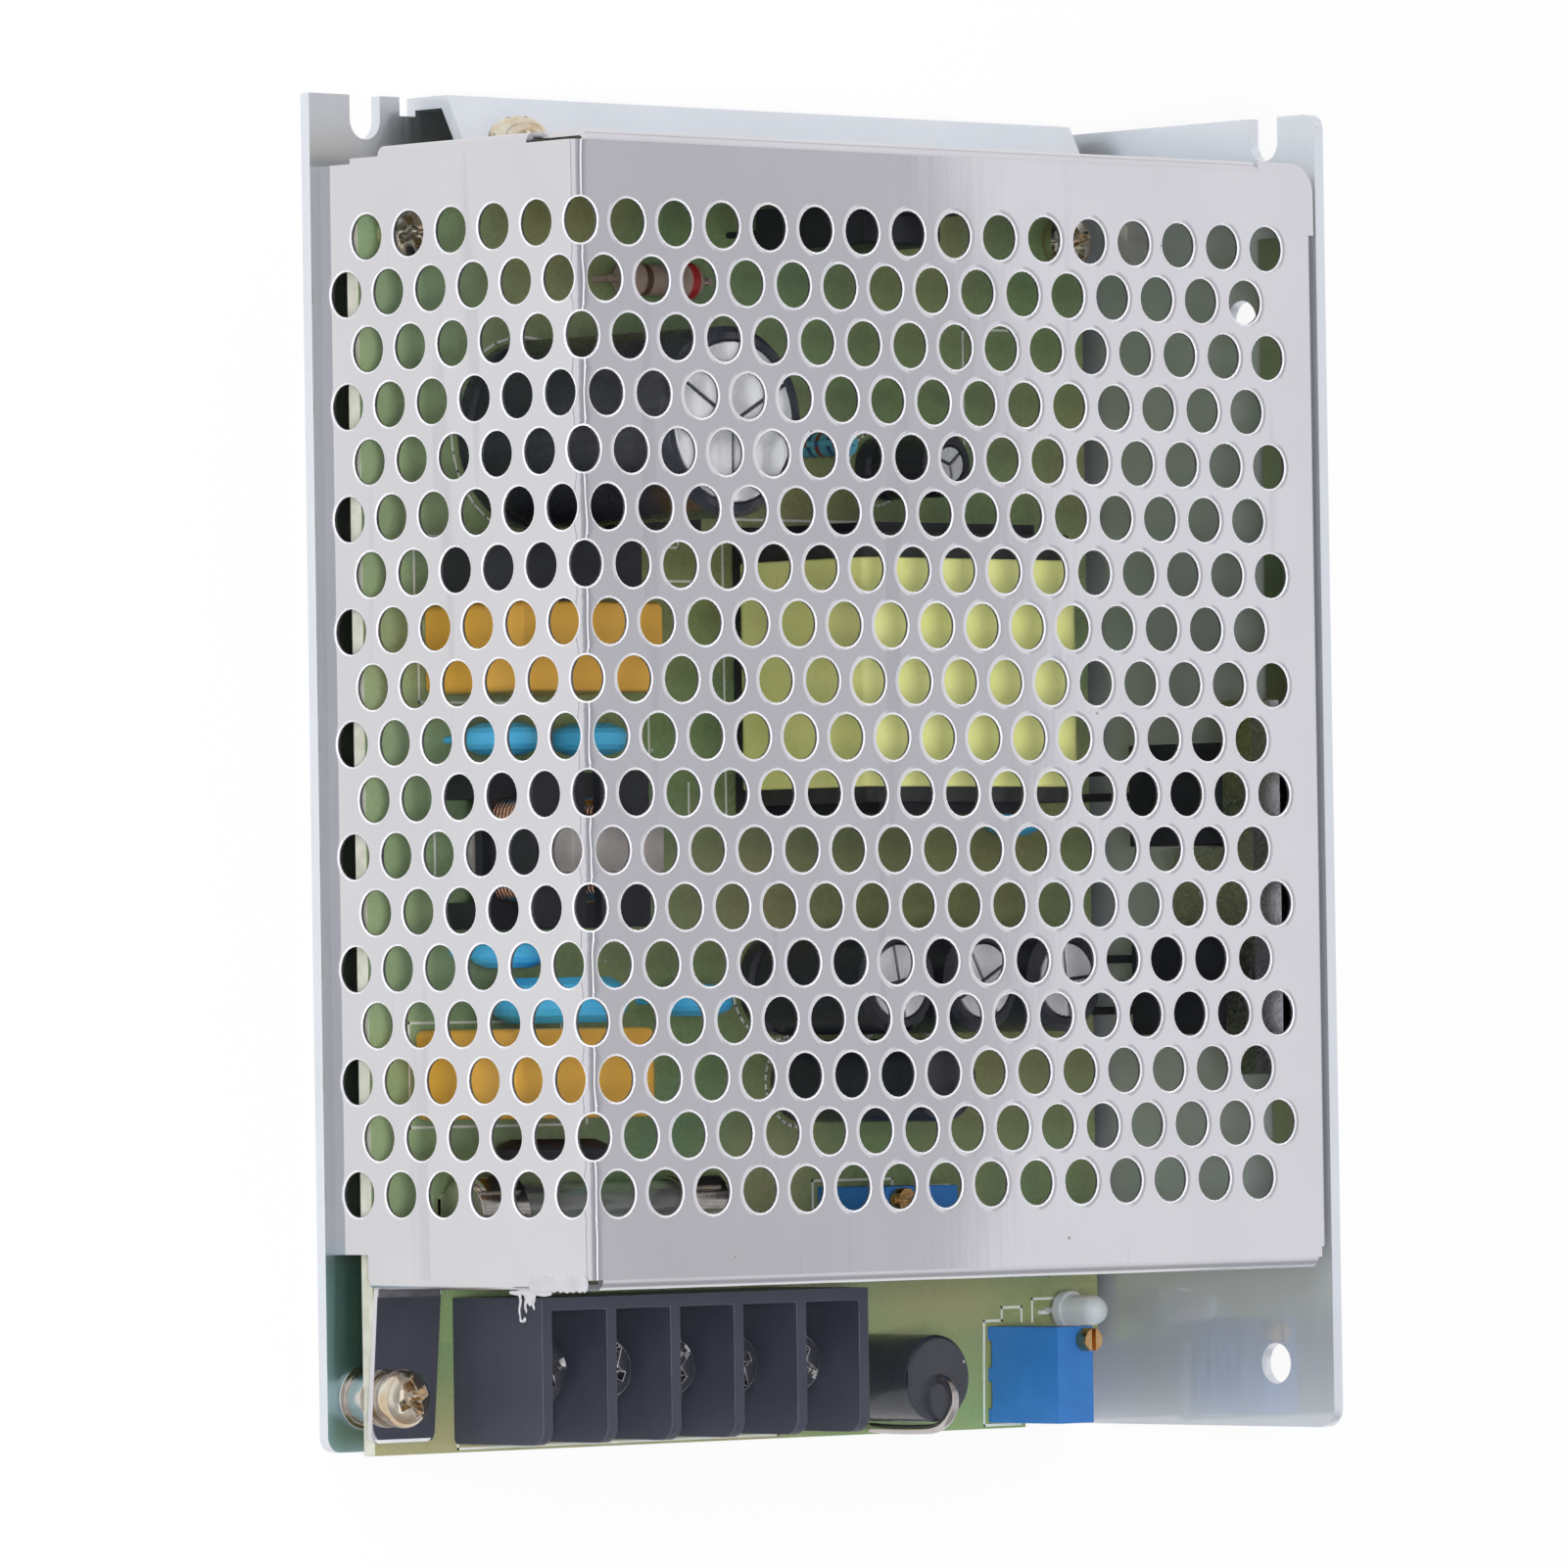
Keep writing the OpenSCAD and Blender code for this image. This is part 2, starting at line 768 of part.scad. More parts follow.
// Square clamp washer of one terminal
module clamp_washer(i) {
    color("silver")
        translate([term_x(i), term_screw_y, washer_z])
            difference() {
                translate([-washer_a / 2, -washer_a / 2, 0])
                    cube([washer_a, washer_a, washer_t]);
                translate([0, 0, -1])
                    cylinder(h = washer_t + 2, r = term_shank_d / 2 + fit_gap);
            }
}

// Cross-recess screw of one terminal
module terminal_screw(i) {
    r = term_head_d / 2;
    color("silver")
        translate([term_x(i), term_screw_y, head_z])
            difference() {
                union() {
                    rotate_extrude()
                        polygon([[0, 0], [r, 0], [r, term_head_h - 0.9], [r - 0.5, term_head_h - 0.3],
                            [r - 1.3, term_head_h], [0, term_head_h]]);
                    translate([0, 0, -term_shank_l])
                        cylinder(h = term_shank_l + eps, d = term_shank_d);
                }
                for (a = [0, 90])
                    rotate([0, 0, a])
                        translate([-1.9, -0.4, term_head_h - 1.1])
                            cube([3.8, 0.8, 2]);
            }
}

module terminal_washer_1() {
    clamp_washer(0);
}

module terminal_washer_2() {
    clamp_washer(1);
}

module terminal_washer_3() {
    clamp_washer(2);
}

module terminal_washer_4() {
    clamp_washer(3);
}

module terminal_washer_5() {
    clamp_washer(4);
}

module terminal_screw_1() {
    terminal_screw(0);
}

module terminal_screw_2() {
    terminal_screw(1);
}

module terminal_screw_3() {
    terminal_screw(2);
}

module terminal_screw_4() {
    terminal_screw(3);
}

module terminal_screw_5() {
    terminal_screw(4);
}

module trimmer_body() {
    color("dodgerblue")
        at_front_trimmer()
            trimmer_case();
}

module trimmer_screw() {
    color("goldenrod")
        at_front_trimmer()
            trimmer_pin();
}

module inner_trimmer_body() {
    color("dodgerblue")
        at_inner_trimmer()
            trimmer_case();
}

module inner_trimmer_screw() {
    color("goldenrod")
        at_inner_trimmer()
            trimmer_pin();
}

module power_led() {
    r = led_d / 2;
    color("whitesmoke")
        translate([led_x, led_y, top]) {
            translate([0, 0, led_lift]) {
                cylinder(h = 0.9, r = r + 0.4);
                cylinder(h = 3.8, r = r);
                translate([0, 0, 3.8])
                    sphere(r = r);
            }
            for (x = [-0.9, 0.9])
                translate([x - 0.25, -0.25, 0])
                    cube([0.5, 0.5, led_lift + 0.5]);
        }
}

module rod_choke() {
    r = rod_d / 2;
    color("dimgray")
        translate([rod_x, rod_y, top])
            rotate_extrude()
                polygon([[0, 0], [r - 0.3, 0], [r, 0.3], [r, rod_h - 0.3], [r - 0.3, rod_h], [0, rod_h]]);
}

module choke_lead() {
    rise = top + rod_h;
    arch = rise + 0.6;
    span = rod_y - lead_y - 2 * lead_r;
    color("silver")
        translate([rod_x, 0, 0]) {
            translate([0, rod_y, rise])
                cylinder(h = 0.6, d = lead_d);
            translate([0, rod_y - lead_r, arch])
                rotate([90, 0, 90])
                    rotate_extrude(angle = 90)
                        translate([lead_r, 0])
                            circle(d = lead_d);
            translate([0, rod_y - lead_r, arch + lead_r])
                rotate([90, 0, 0])
                    cylinder(h = span, d = lead_d);
            translate([0, lead_y + lead_r, arch])
                rotate([90, 0, 90])
                    rotate([0, 0, 90])
                        rotate_extrude(angle = 90)
                            translate([lead_r, 0])
                                circle(d = lead_d);
            translate([0, lead_y, top])
                cylinder(h = arch - top, d = lead_d);
        }
}

module bulk_capacitor() {
    color("darkslategray")
        translate([bulk_x, bulk_y, top])
            can(bulk_d, bulk_h);
}

// One of the three output capacitors
module output_can(i) {
    color("darkslategray")
        translate([out_x + i * out_pitch, out_y, top])
            can(out_d, out_h);
}

module output_capacitor_1() {
    output_can(0);
}

module output_capacitor_2() {
    output_can(1);
}

module output_capacitor_3() {
    output_can(2);
}

module aux_capacitor() {
    color("darkslategray")
        translate([aux_x, aux_y, top])
            can(aux_d, aux_h);
}

module filter_choke() {
    r = filter_d / 2;
    color("dimgray")
        translate([filter_x, filter_y, top])
            rotate_extrude()
                polygon([[0, 0], [r - 0.3, 0], [r, 0.3], [r, filter_h - 0.3], [r - 0.3, filter_h],
                    [0, filter_h]]);
}

module transformer_core() {
    color("gray")
        along_y(trafo_y + 1, trafo_l - 2)
            round_rect([trafo_x + 0.5, top + 3], [trafo_x + trafo_w - 0.5, top + trafo_h - 0.5], 0.6);
}

module transformer_tape() {
    color("gold")
        along_y(trafo_y + 2.5, trafo_l - 6)
            difference() {
                round_rect([trafo_x, top + 2.5], [trafo_x + trafo_w, top + trafo_h], 1.1);
                round_rect([trafo_x + 0.5, top + 3], [trafo_x + trafo_w - 0.5, top + trafo_h - 0.5], 0.6);
            }
}

module transformer_bobbin() {
    x0 = trafo_x + 1.5;
    x1 = trafo_x + trafo_w - 1.5;
    rail = 2.4;
    color("dimgray") {
        slab([x0, trafo_y + rail, top + 0.5], [x1, trafo_y + trafo_l - rail, top + 2.5]);
        for (y = [trafo_y, trafo_y + trafo_l - rail])
            slab([x0, y, top + 0.5], [x1, y + rail, top + 3]);
        for (y = [trafo_y, trafo_y + trafo_l - 1])
            slab([x0 + 2, y, top + 3], [x1 - 2, y + 1, top + trafo_h - 2.5]);
        for (i = [0 : 4])
            for (y = [trafo_y + rail / 2, trafo_y + trafo_l - rail / 2])
                translate([x0 + 2 + i * (x1 - x0 - 4) / 4, y, top])
                    cylinder(h = 0.6, d = 0.9);
    }
}

module line_choke_core() {
    x0 = line_x + line_rim;
    x1 = line_x + line_w - line_rim;
    color("lightgray")
        along_y(line_y + line_l / 2 - 2.3, 4.6)
            difference() {
                rect([x0, top + 1.2], [x1, top + line_h]);
                rect([x0 + line_leg, top + 1.2 + line_leg], [x1 - line_leg, top + line_h - line_leg]);
            }
}

// Rectangular ring around one upright leg of the line choke's core
module leg_ring(i, grow_x, grow_y, z0, z1) {
    x0 = line_leg_x(i);
    y0 = line_y + line_l / 2;
    gap = 0.15;
    translate([0, 0, z0])
        linear_extrude(height = z1 - z0)
            difference() {
                rect([x0 - grow_x, y0 - grow_y], [x0 + line_leg + grow_x, y0 + grow_y]);
                rect([x0 - gap, y0 - 2.3 - gap], [x0 + line_leg + gap, y0 + 2.3 + gap]);
            }
}

module line_choke_bobbins() {
    z0 = top + 1.4 + line_leg;
    z1 = top + line_h - line_leg - 0.2;
    color("dimgray") {
        for (i = [0, 1]) {
            leg_ring(i, 0.6, 3, z0, z1);
            leg_ring(i, line_rim, line_l / 2, z0, z0 + 1);
            leg_ring(i, line_rim, line_l / 2, z1 - 1, z1);
        }
        for (y = [line_y, line_y + line_l - 2.5])
            slab([line_x, y, top], [line_x + line_w, y + 2.5, z0 + eps]);
    }
}

module line_choke_windings() {
    z0 = top + 2.4 + line_leg;
    z1 = top + line_h - line_leg - 1.2;
    y0 = line_y + line_l / 2;
    color("peru")
        for (i = [0, 1])
            translate([line_leg_x(i), y0, z0])
                linear_extrude(height = z1 - z0)
                    difference() {
                        rect([0.2 - line_rim, 1 - line_l / 2],
                            [line_leg + line_rim - 0.2, line_l / 2 - 1]);
                        rect([-0.6, -3], [line_leg + 0.6, 3]);
                    }
}

// Moulded film capacitor
module film_box(x, y) {
    color("gold")
        translate([x, y, top])
            linear_extrude(height = film_h)
                round_rect([0, 0], [film_l, film_w], 0.8);
}

module film_capacitor_1() {
    film_box(lane_x - 1.6, film_y1);
}

module film_capacitor_2() {
    film_box(lane_x + 0.3, film_y2);
}

module varistor() {
    color("royalblue")
        translate([lane_x + 9.7, var_y, top])
            coated_disc(var_d, var_t, 1.5);
}

module safety_capacitors() {
    color("royalblue")
        for (p = safety_at)
            translate([p[0], p[1], top])
                coated_disc(safety_d, safety_t, 1.8);
}

module snubber_capacitor() {
    color("royalblue")
        translate([snub_x, snub_y, top])
            coated_disc(5.6, 2.8, 1);
}

module thermistor() {
    color("dimgray")
        translate([lane_x + 9.5, ntc_y, top])
            coated_disc(ntc_d, ntc_t, 1.5);
}

module fuse_glass() {
    r = fuse_d / 2 - 0.35;
    color("aliceblue")
        translate([lane_x + 0.4, fuse_y, fuse_z])
            rotate([0, 90, 0])
                difference() {
                    cylinder(h = fuse_l - 0.8, r = r);
                    translate([0, 0, -1])
                        cylinder(h = fuse_l + 2, r = r - 0.8);
                }
}

module fuse_caps() {
    r = fuse_d / 2;
    color("silver")
        for (x = [lane_x, lane_x + fuse_l - 6])
            translate([x, fuse_y, fuse_z])
                rotate([0, 90, 0])
                    difference() {
                        cylinder(h = 6, r = r);
                        translate([0, 0, x == lane_x ? 0.4 : -1])
                            cylinder(h = x == lane_x ? 6 : 6.6, r = r - 0.3);
                    }
}

module fuse_clips() {
    r = fuse_d / 2 + 0.05;
    color("silver")
        for (x = [lane_x + 0.6, lane_x + fuse_l - 5.6])
            along_x(x, 5)
                difference() {
                    union() {
                        translate([fuse_y, fuse_z])
                            circle(r = r + 0.5);
                        rect([fuse_y - 2, top], [fuse_y + 2, fuse_z - r + 0.3]);
                    }
                    translate([fuse_y, fuse_z])
                        circle(r = r);
                    rect([fuse_y - 1.5, top + 0.5], [fuse_y + 1.5, fuse_z - r - 0.5]);
                    rect([fuse_y - r + 0.9, fuse_z], [fuse_y + r - 0.9, fuse_z + 6]);
                }
}

module bridge_rectifier() {
    x0 = lane_x - 0.1;
    color("dimgray") {
        slab([x0, bridge_y, top + 1.5], [x0 + bridge_w, bridge_y + bridge_t, top + bridge_h]);
        for (i = [0 : 3])
            slab([x0 + 1.5 + i * (bridge_w - 3.8) / 3, bridge_y + bridge_t / 2 - 0.4, top],
                [x0 + 2.3 + i * (bridge_w - 3.8) / 3, bridge_y + bridge_t / 2 + 0.4, top + 2]);
    }
}

module regulator() {
    color("dimgray") {
        translate([reg_x, reg_y, top])
            power_device(device_w, device_t - 0.4, device_h, 6.5);
        slab([reg_x, reg_y + device_t - 1.7, top + 6.5 + device_h - eps],
            [reg_x + device_w, reg_y + device_t - 0.4, top + 6.5 + device_h + 3.4]);
    }
}

// Power device against the wall, its front towards minus X
module wall_device(y) {
    color("dimgray")
        translate([dev_x0, y + device_w, top])
            rotate([0, 0, -90])
                power_device(device_w, device_t, device_h, dev_z0 - top);
}

module power_transistor() {
    wall_device(dev_y1);
}

module output_rectifier() {
    wall_device(dev_y2);
}

module device_clamp() {
    color("gainsboro")
        difference() {
            union() {
                slab([dev_x0, clamp_y, dev_z1 - clamp_h], [wall_in, clamp_y + clamp_w, dev_z1 + eps]);
                slab([dev_x0 - 0.8, dev_y1 - 4, dev_z1], [dev_x0 + 3, bar_y1, dev_z1 + 2.9]);
                slab([dev_x0 - 0.8, dev_y1 - 4, dev_z1 - 1.2], [dev_x0, bar_y1, dev_z1 + eps]);
            }
            translate([dev_x0 - 1, clamp_y + clamp_w / 2, clamp_z])
                rotate([0, 90, 0])
                    cylinder(h = device_t + 3, d = clamp_d + 0.1);
        }
}

module insulator_pads() {
    color("white")
        for (y = [dev_y1, dev_y2])
            slab([wall_in - pad_t, y - 0.2, dev_z0 - 1], [wall_in, y + device_w + 0.2, dev_z1 - 0.2]);
}

module clamp_screw() {
    color("silver")
        translate([x_r, clamp_y + clamp_w / 2, clamp_z])
            rotate([0, -90, 0])
                difference() {
                    union() {
                        cylinder(h = chassis_t, r1 = clamp_d / 2 + 1.25, r2 = clamp_d / 2);
                        cylinder(h = chassis_t + device_t, d = clamp_d);
                    }
                    for (a = [0, 90])
                        rotate([0, 0, a])
                            translate([-1.4, -0.35, -1])
                                cube([2.8, 0.7, 1.7]);
                }
}

// Axial part lying along X, leads turned down
module axial_part(d, l, span) {
    r = d / 2;
    z = r + 0.2;
    translate([-l / 2, 0, z])
        rotate([0, 90, 0])
            rotate_extrude()
                polygon([[0, 0], [r - 0.3, 0], [r, 0.4], [r, 1.6], [r - 0.25, 2.1], [r - 0.25, l - 2.1],
                    [r, l - 1.6], [r, l - 0.4], [r - 0.3, l], [0, l]]);
    translate([-span / 2, 0, z])
        rotate([0, 90, 0])
            cylinder(h = span, d = 0.7);
    for (x = [-span / 2, span / 2])
        translate([x, 0, 0])
            cylinder(h = z + 0.35, d = 0.7);
}

module resistor_1() {
    color("rosybrown")
        translate([res_x, res_y, top])
            axial_part(3.6, 9.4, 13);
}

module resistor_2() {
    color("steelblue")
        translate([stand_x, stand_y, top]) {
            translate([0, 0, 1])
                cylinder(h = 6.3, d = 2.4);
            cylinder(h = 8.3, d = 0.6);
            translate([-2.5, 0, 8])
                rotate([0, 90, 0])
                    cylinder(h = 2.5, d = 0.6);
            translate([-2.5, 0, 0])
                cylinder(h = 8.3, d = 0.6);
        }
}

module controller_chip() {
    color("dimgray")
        translate([chip_x, chip_y, top])
            chip(9.4, 6.4, 3.3, 4);
}

module optocoupler() {
    color("dimgray")
        translate([opto_x, opto_y, top])
            chip(4.6, 6.4, 3.3, 2);
}

chassis();
cover();
circuit_board();
board_standoffs();
board_screws();
cover_screw();
terminal_block();
terminal_plates();
terminal_washer_1();
terminal_washer_2();
terminal_washer_3();
terminal_washer_4();
terminal_washer_5();
terminal_screw_1();
terminal_screw_2();
terminal_screw_3();
terminal_screw_4();
terminal_screw_5();
trimmer_body();
trimmer_screw();
inner_trimmer_body();
inner_trimmer_screw();
power_led();
rod_choke();
choke_lead();
bulk_capacitor();
output_capacitor_1();
output_capacitor_2();
output_capacitor_3();
aux_capacitor();
filter_choke();
transformer_core();
transformer_tape();
transformer_bobbin();
line_choke_core();
line_choke_bobbins();
line_choke_windings();
film_capacitor_1();
film_capacitor_2();
varistor();
safety_capacitors();
snubber_capacitor();
thermistor();
fuse_glass();
fuse_caps();
fuse_clips();
bridge_rectifier();
regulator();
power_transistor();
output_rectifier();
device_clamp();
insulator_pads();
clamp_screw();
resistor_1();
resistor_2();
controller_chip();
optocoupler();
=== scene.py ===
"""Looks of the enclosed switching power supply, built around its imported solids."""
import functools
import json
import math

import bmesh
import bpy
from mathutils import Matrix, Vector

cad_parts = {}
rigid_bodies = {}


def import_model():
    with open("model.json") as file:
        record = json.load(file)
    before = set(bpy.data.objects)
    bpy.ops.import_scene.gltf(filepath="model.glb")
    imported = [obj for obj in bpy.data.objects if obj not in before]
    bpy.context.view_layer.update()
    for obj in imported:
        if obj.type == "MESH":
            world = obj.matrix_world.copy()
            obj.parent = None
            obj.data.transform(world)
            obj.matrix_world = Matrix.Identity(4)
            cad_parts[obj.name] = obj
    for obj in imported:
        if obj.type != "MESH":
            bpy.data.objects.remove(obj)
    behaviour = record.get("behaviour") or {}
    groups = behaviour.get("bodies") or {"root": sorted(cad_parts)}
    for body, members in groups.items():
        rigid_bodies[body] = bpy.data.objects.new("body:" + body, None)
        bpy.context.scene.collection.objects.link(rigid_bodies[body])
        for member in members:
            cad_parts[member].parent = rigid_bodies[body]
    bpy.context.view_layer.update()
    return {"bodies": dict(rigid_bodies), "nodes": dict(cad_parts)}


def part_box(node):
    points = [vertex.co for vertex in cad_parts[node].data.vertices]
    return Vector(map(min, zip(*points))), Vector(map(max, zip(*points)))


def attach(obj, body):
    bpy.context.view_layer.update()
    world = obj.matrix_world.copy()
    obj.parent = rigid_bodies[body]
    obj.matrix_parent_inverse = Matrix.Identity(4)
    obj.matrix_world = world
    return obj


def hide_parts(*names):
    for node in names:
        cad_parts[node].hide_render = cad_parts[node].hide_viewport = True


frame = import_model()

MM = 0.001
CASE = "case"

# Folded cover, in millimetres
SHEET_T = 0.6
COVER_X = -48.85
COVER_RX = 48.35
COVER_TOP = 37.2
COVER_FRONT = -48.8
COVER_REAR = 59.0
COVER_BEND = 1.3
FLANGE_BEND = 1.0
CHASSIS_T = 1.2
BOARD_TOP = 5.5
LIP_EASE = 0.14
FOLD_WANDER = 1.8
TAB_LENGTH = 14.5
# Corners cut away at the foot of the side: length along the cover, height
FRONT_NOTCH = (3.3, 5.9)
REAR_NOTCH = (1.5, 5.5)
# Perforation: pitch along a row, pitch of the rows, hole radius, counts
HOLE_PITCH = 6.0
ROW_PITCH = 5.314
HOLE_R = 2.16
ROWS = 18
HOLES_IN_ROW = 21
HOLES_LEFT_OF_FOLD = 5
ROW_Y0 = 50.5
# Punched edge: heights of the break and of the rim's foot, widths of the rim, the ring round it, the flare below
# and the shaded dish
BREAK_Z = -0.32
RIM_Z = -0.1
RIM_W = 0.17
RING_W = 0.28
FLARE_W = 0.24
PUNCH_DISH = 0.009
DISH_W = 0.48
# Slow bow of the sheet: slope and shift along Y and depth, in metres; depth of the rolling lines
BOW_SLOPE, BOW_SHIFT = 18.5, -0.19
BOW_DEPTH = 0.0028
LINE_DEPTH = 0.0007
# Kinds of face on the cover, in the order of its finishes
SHEET, RIM, WALL, LIP = range(4)
# Flat sheet: s runs from the side's foot over the fold to the top's right edge
TOP_OFF = 0.61
SIDE_OFF = 0.445
S_FOOT = CHASSIS_T - COVER_TOP - SIDE_OFF
S_RIGHT = COVER_RX - FLANGE_BEND - COVER_X - TOP_OFF
Y_FRONT = COVER_FRONT + FLANGE_BEND
Y_REAR = COVER_REAR - FLANGE_BEND
# Edges of the pieces are rounded where they turn by more than this, in degrees
EDGE_DEG = 32.0
# Printed strokes, glue, lead and winding wire, in millimetres
PRINT_W, PRINT_H = 0.24, 0.03
GLUE_GRAIN = 0.1
LEAD_R = 0.48
WIRE_R, WIRE_PITCH = 0.24, 0.5
# Can lids: rolled rim around them, and how far their underside and top lie below it
LID_RIM = 1.45
LID_LOW, LID_HIGH = 0.42, 0.08
# Values between which noise mostly lies
NOISE_RANGE = (0.3, 0.7)


# ---- Mesh helpers

def new_object(name, data):
    """Object in the scene; a piece stays at the origin, with its place in its mesh."""
    made = bpy.data.objects.new(name, data)
    bpy.context.scene.collection.objects.link(made)
    return made


def smooth_mesh(mesh, smooth_deg=40.0):
    """Smooth faces, with edges kept sharp above the given angle."""
    for face in mesh.polygons:
        face.use_smooth = True
    mesh.set_sharp_from_angle(angle=math.radians(smooth_deg))


def mesh_from(bm, name, smooth_deg=40.0):
    """Plain smoothed mesh."""
    mesh = bpy.data.meshes.new(name)
    bm.to_mesh(mesh)
    bm.free()
    smooth_mesh(mesh, smooth_deg)
    return mesh


def dress(name, mesh, coats, replaced=(), body=CASE):
    """Make a piece, give it its finishes, by face where there are several, and hand it to the frame."""
    piece = new_object(name, mesh)
    wearing = [face.material_index for face in mesh.polygons]
    mesh.materials.clear()
    for coat in coats:
        mesh.materials.append(coat)
    if len(coats) > 1:
        mesh.polygons.foreach_set("material_index", wearing)
    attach(piece, body)
    if replaced:
        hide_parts(*replaced)


def evaluated_mesh(piece, name, *spares):
    """The piece's modifiers turned into a plain mesh; the piece and the spares that it used are removed."""
    depsgraph = bpy.context.evaluated_depsgraph_get()
    mesh = bpy.data.meshes.new_from_object(piece.evaluated_get(depsgraph))
    mesh.name = name
    for spare in (piece, *spares):
        bpy.data.objects.remove(spare)
    return mesh


def rounded(piece, width, wear_and_glint_slot=None):
    """Round the sharp edges of a piece and level its normals; the rounded edges can take another slot, for worn edges
    or for painted highlights.
    """
    ease = piece.modifiers.new("ease", "BEVEL")
    ease.width = width * MM
    ease.segments = 2
    ease.limit_method = "ANGLE"
    ease.angle_limit = math.radians(EDGE_DEG)
    if wear_and_glint_slot is not None:
        ease.material = wear_and_glint_slot
    piece.modifiers.new("level", "WEIGHTED_NORMAL").weight = 90


def bridge(bm, rings, capped=False):
    """Faces between neighbouring rings of points; a ring of one point is a pole."""
    made = []
    for lower, upper in zip(rings, rings[1:]):
        count = max(len(lower), len(upper))
        for k in range(count):
            nxt = (k + 1) % count
            corners = (lower[k % len(lower)], lower[nxt % len(lower)], upper[nxt % len(upper)], upper[k % len(upper)])
            made.append(bm.faces.new(list(dict.fromkeys(corners))))
    if capped:
        made += [bm.faces.new(rings[0][::-1]), bm.faces.new(rings[-1])]
    return made


def outward(bm, faces):
    """Turn the faces outwards."""
    bmesh.ops.recalc_face_normals(bm, faces=faces)


def sweep_section(bm, loop, place, start, end):
    """Closed strip: a section loop of (u, v) points between two along-values."""
    rings = [[bm.verts.new(Vector(place(u, v, along)) * MM) for u, v in loop] for along in (start, end)]
    made = bridge(bm, rings, True)
    outward(bm, made)
    return made


def arc_points(cu, cv, radius, start_deg, end_deg, steps):
    """Points (u, v) along an arc."""
    turns = [math.radians(start_deg + (end_deg - start_deg) * k / steps) for k in range(steps + 1)]
    return [(cu + radius * math.cos(turn), cv + radius * math.sin(turn)) for turn in turns]


def circle(radius, count):
    """Points (x, y) round a circle."""
    return [(radius * math.cos(math.tau * k / count), radius * math.sin(math.tau * k / count)) for k in range(count)]


def box_mm(node):
    """Lowest and highest corner of a node, in millimetres."""
    return [Vector(corner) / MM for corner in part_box(node)]


# ---- Node helpers

def wire(tree, kind, feeds=None, **settings):
    """Add a node, set its properties and feed its inputs by name or index."""
    made = tree.nodes.new(kind)
    for key, value in settings.items():
        setattr(made, key, value)
    for socket, feed in (feeds or {}).items():
        if isinstance(feed, bpy.types.NodeSocket):
            tree.links.new(feed, made.inputs[socket])
        else:
            made.inputs[socket].default_value = feed
    return made


def maths(tree, operation, *feeds):
    """Result of one maths node."""
    return wire(tree, "ShaderNodeMath", dict(enumerate(feeds)), operation=operation).outputs[0]


def place_coords(tree, stretch=(1, 1, 1)):
    coords = wire(tree, "ShaderNodeTexCoord")
    return wire(tree, "ShaderNodeMapping", {"Vector": coords.outputs["Object"], "Scale": stretch}).outputs[0]


def place_xyz(tree):
    return wire(tree, "ShaderNodeSeparateXYZ", {0: place_coords(tree)}).outputs


def noise(tree, scale, detail=3.0, stretch=(1, 1, 1)):
    return wire(tree, "ShaderNodeTexNoise", {"Vector": place_coords(tree, stretch), "Scale": scale,
                                             "Detail": detail}).outputs["Fac"]


def cells(tree, scale, distance="EUCLIDEAN"):
    """Distance from each cell's middle, and a chance value that each cell has to itself."""
    made = wire(tree, "ShaderNodeTexVoronoi", {"Vector": place_coords(tree), "Scale": scale}, distance=distance).outputs
    return made["Distance"], wire(tree, "ShaderNodeSeparateColor", {0: made["Color"]}).outputs[0]


def span(tree, value, lo, hi, out_lo=0.0, out_hi=1.0):
    return wire(tree, "ShaderNodeMapRange", {"Value": value, "From Min": lo, "From Max": hi,
                                             "To Min": out_lo, "To Max": out_hi}).outputs[0]


def rgba(colour):
    return (*colour, 1.0)


def tint(tree, fac, first, second):
    return wire(tree, "ShaderNodeMix", {0: fac, 6: first, 7: second}, data_type="RGBA").outputs[2]


def bump(tree, height, depth, strength=1.0, invert=False, **under):
    """Normal pushed by a height, over another one where Normal is given."""
    return wire(tree, "ShaderNodeBump", {"Height": height, "Strength": strength, "Distance": depth, **under},
                invert=invert).outputs[0]


def specks(tree, size, share):
    """Sparse round specks: 1 inside a speck, 0 elsewhere."""
    distance, chance = cells(tree, size)
    kept = maths(tree, "LESS_THAN", chance, share)
    return maths(tree, "MULTIPLY", span(tree, distance, 0.06, 0.13, 1.0, 0.0), kept)


def finish(name, dark, light, patch, rough, grain=2500.0, stretch=(1, 1, 1), relief=0.0, dust=0.0, ragged=4.0,
           **constants):
    """Material whose colour wanders in patches, whose gloss and relief follow a grain, with dust on it."""
    made = bpy.data.materials.new(name)
    made.use_nodes = True
    tree = made.node_tree
    skin = tree.nodes["Principled BSDF"]
    colour = tint(tree, span(tree, noise(tree, patch, ragged), *NOISE_RANGE), rgba(dark), rgba(light))
    fine = noise(tree, grain, 3.0, stretch)
    gloss = span(tree, fine, *NOISE_RANGE, *rough)
    if dust:
        bits = specks(tree, 620.0, dust)
        colour = tint(tree, bits, colour, rgba((0.62, 0.62, 0.62)))
        gloss = maths(tree, "MAXIMUM", gloss, bits)
    tree.links.new(colour, skin.inputs["Base Color"])
    tree.links.new(gloss, skin.inputs["Roughness"])
    if relief:
        tree.links.new(bump(tree, fine, relief * MM, 0.6), skin.inputs["Normal"])
    for socket, value in constants.items():
        skin.inputs[socket.replace("_", " ")].default_value = value
    return made


metal = functools.partial(finish, Metallic=1.0)
moulded = functools.partial(finish, relief=0.004)


def repaint(made, layers):
    """Lay (share, colour) layers over a finish."""
    tree = made.node_tree
    base = tree.nodes["Principled BSDF"].inputs["Base Color"]
    colour = base.links[0].from_socket
    for share, paint in layers:
        colour = tint(tree, share, colour, rgba(paint))
    tree.links.new(colour, base)
    return made


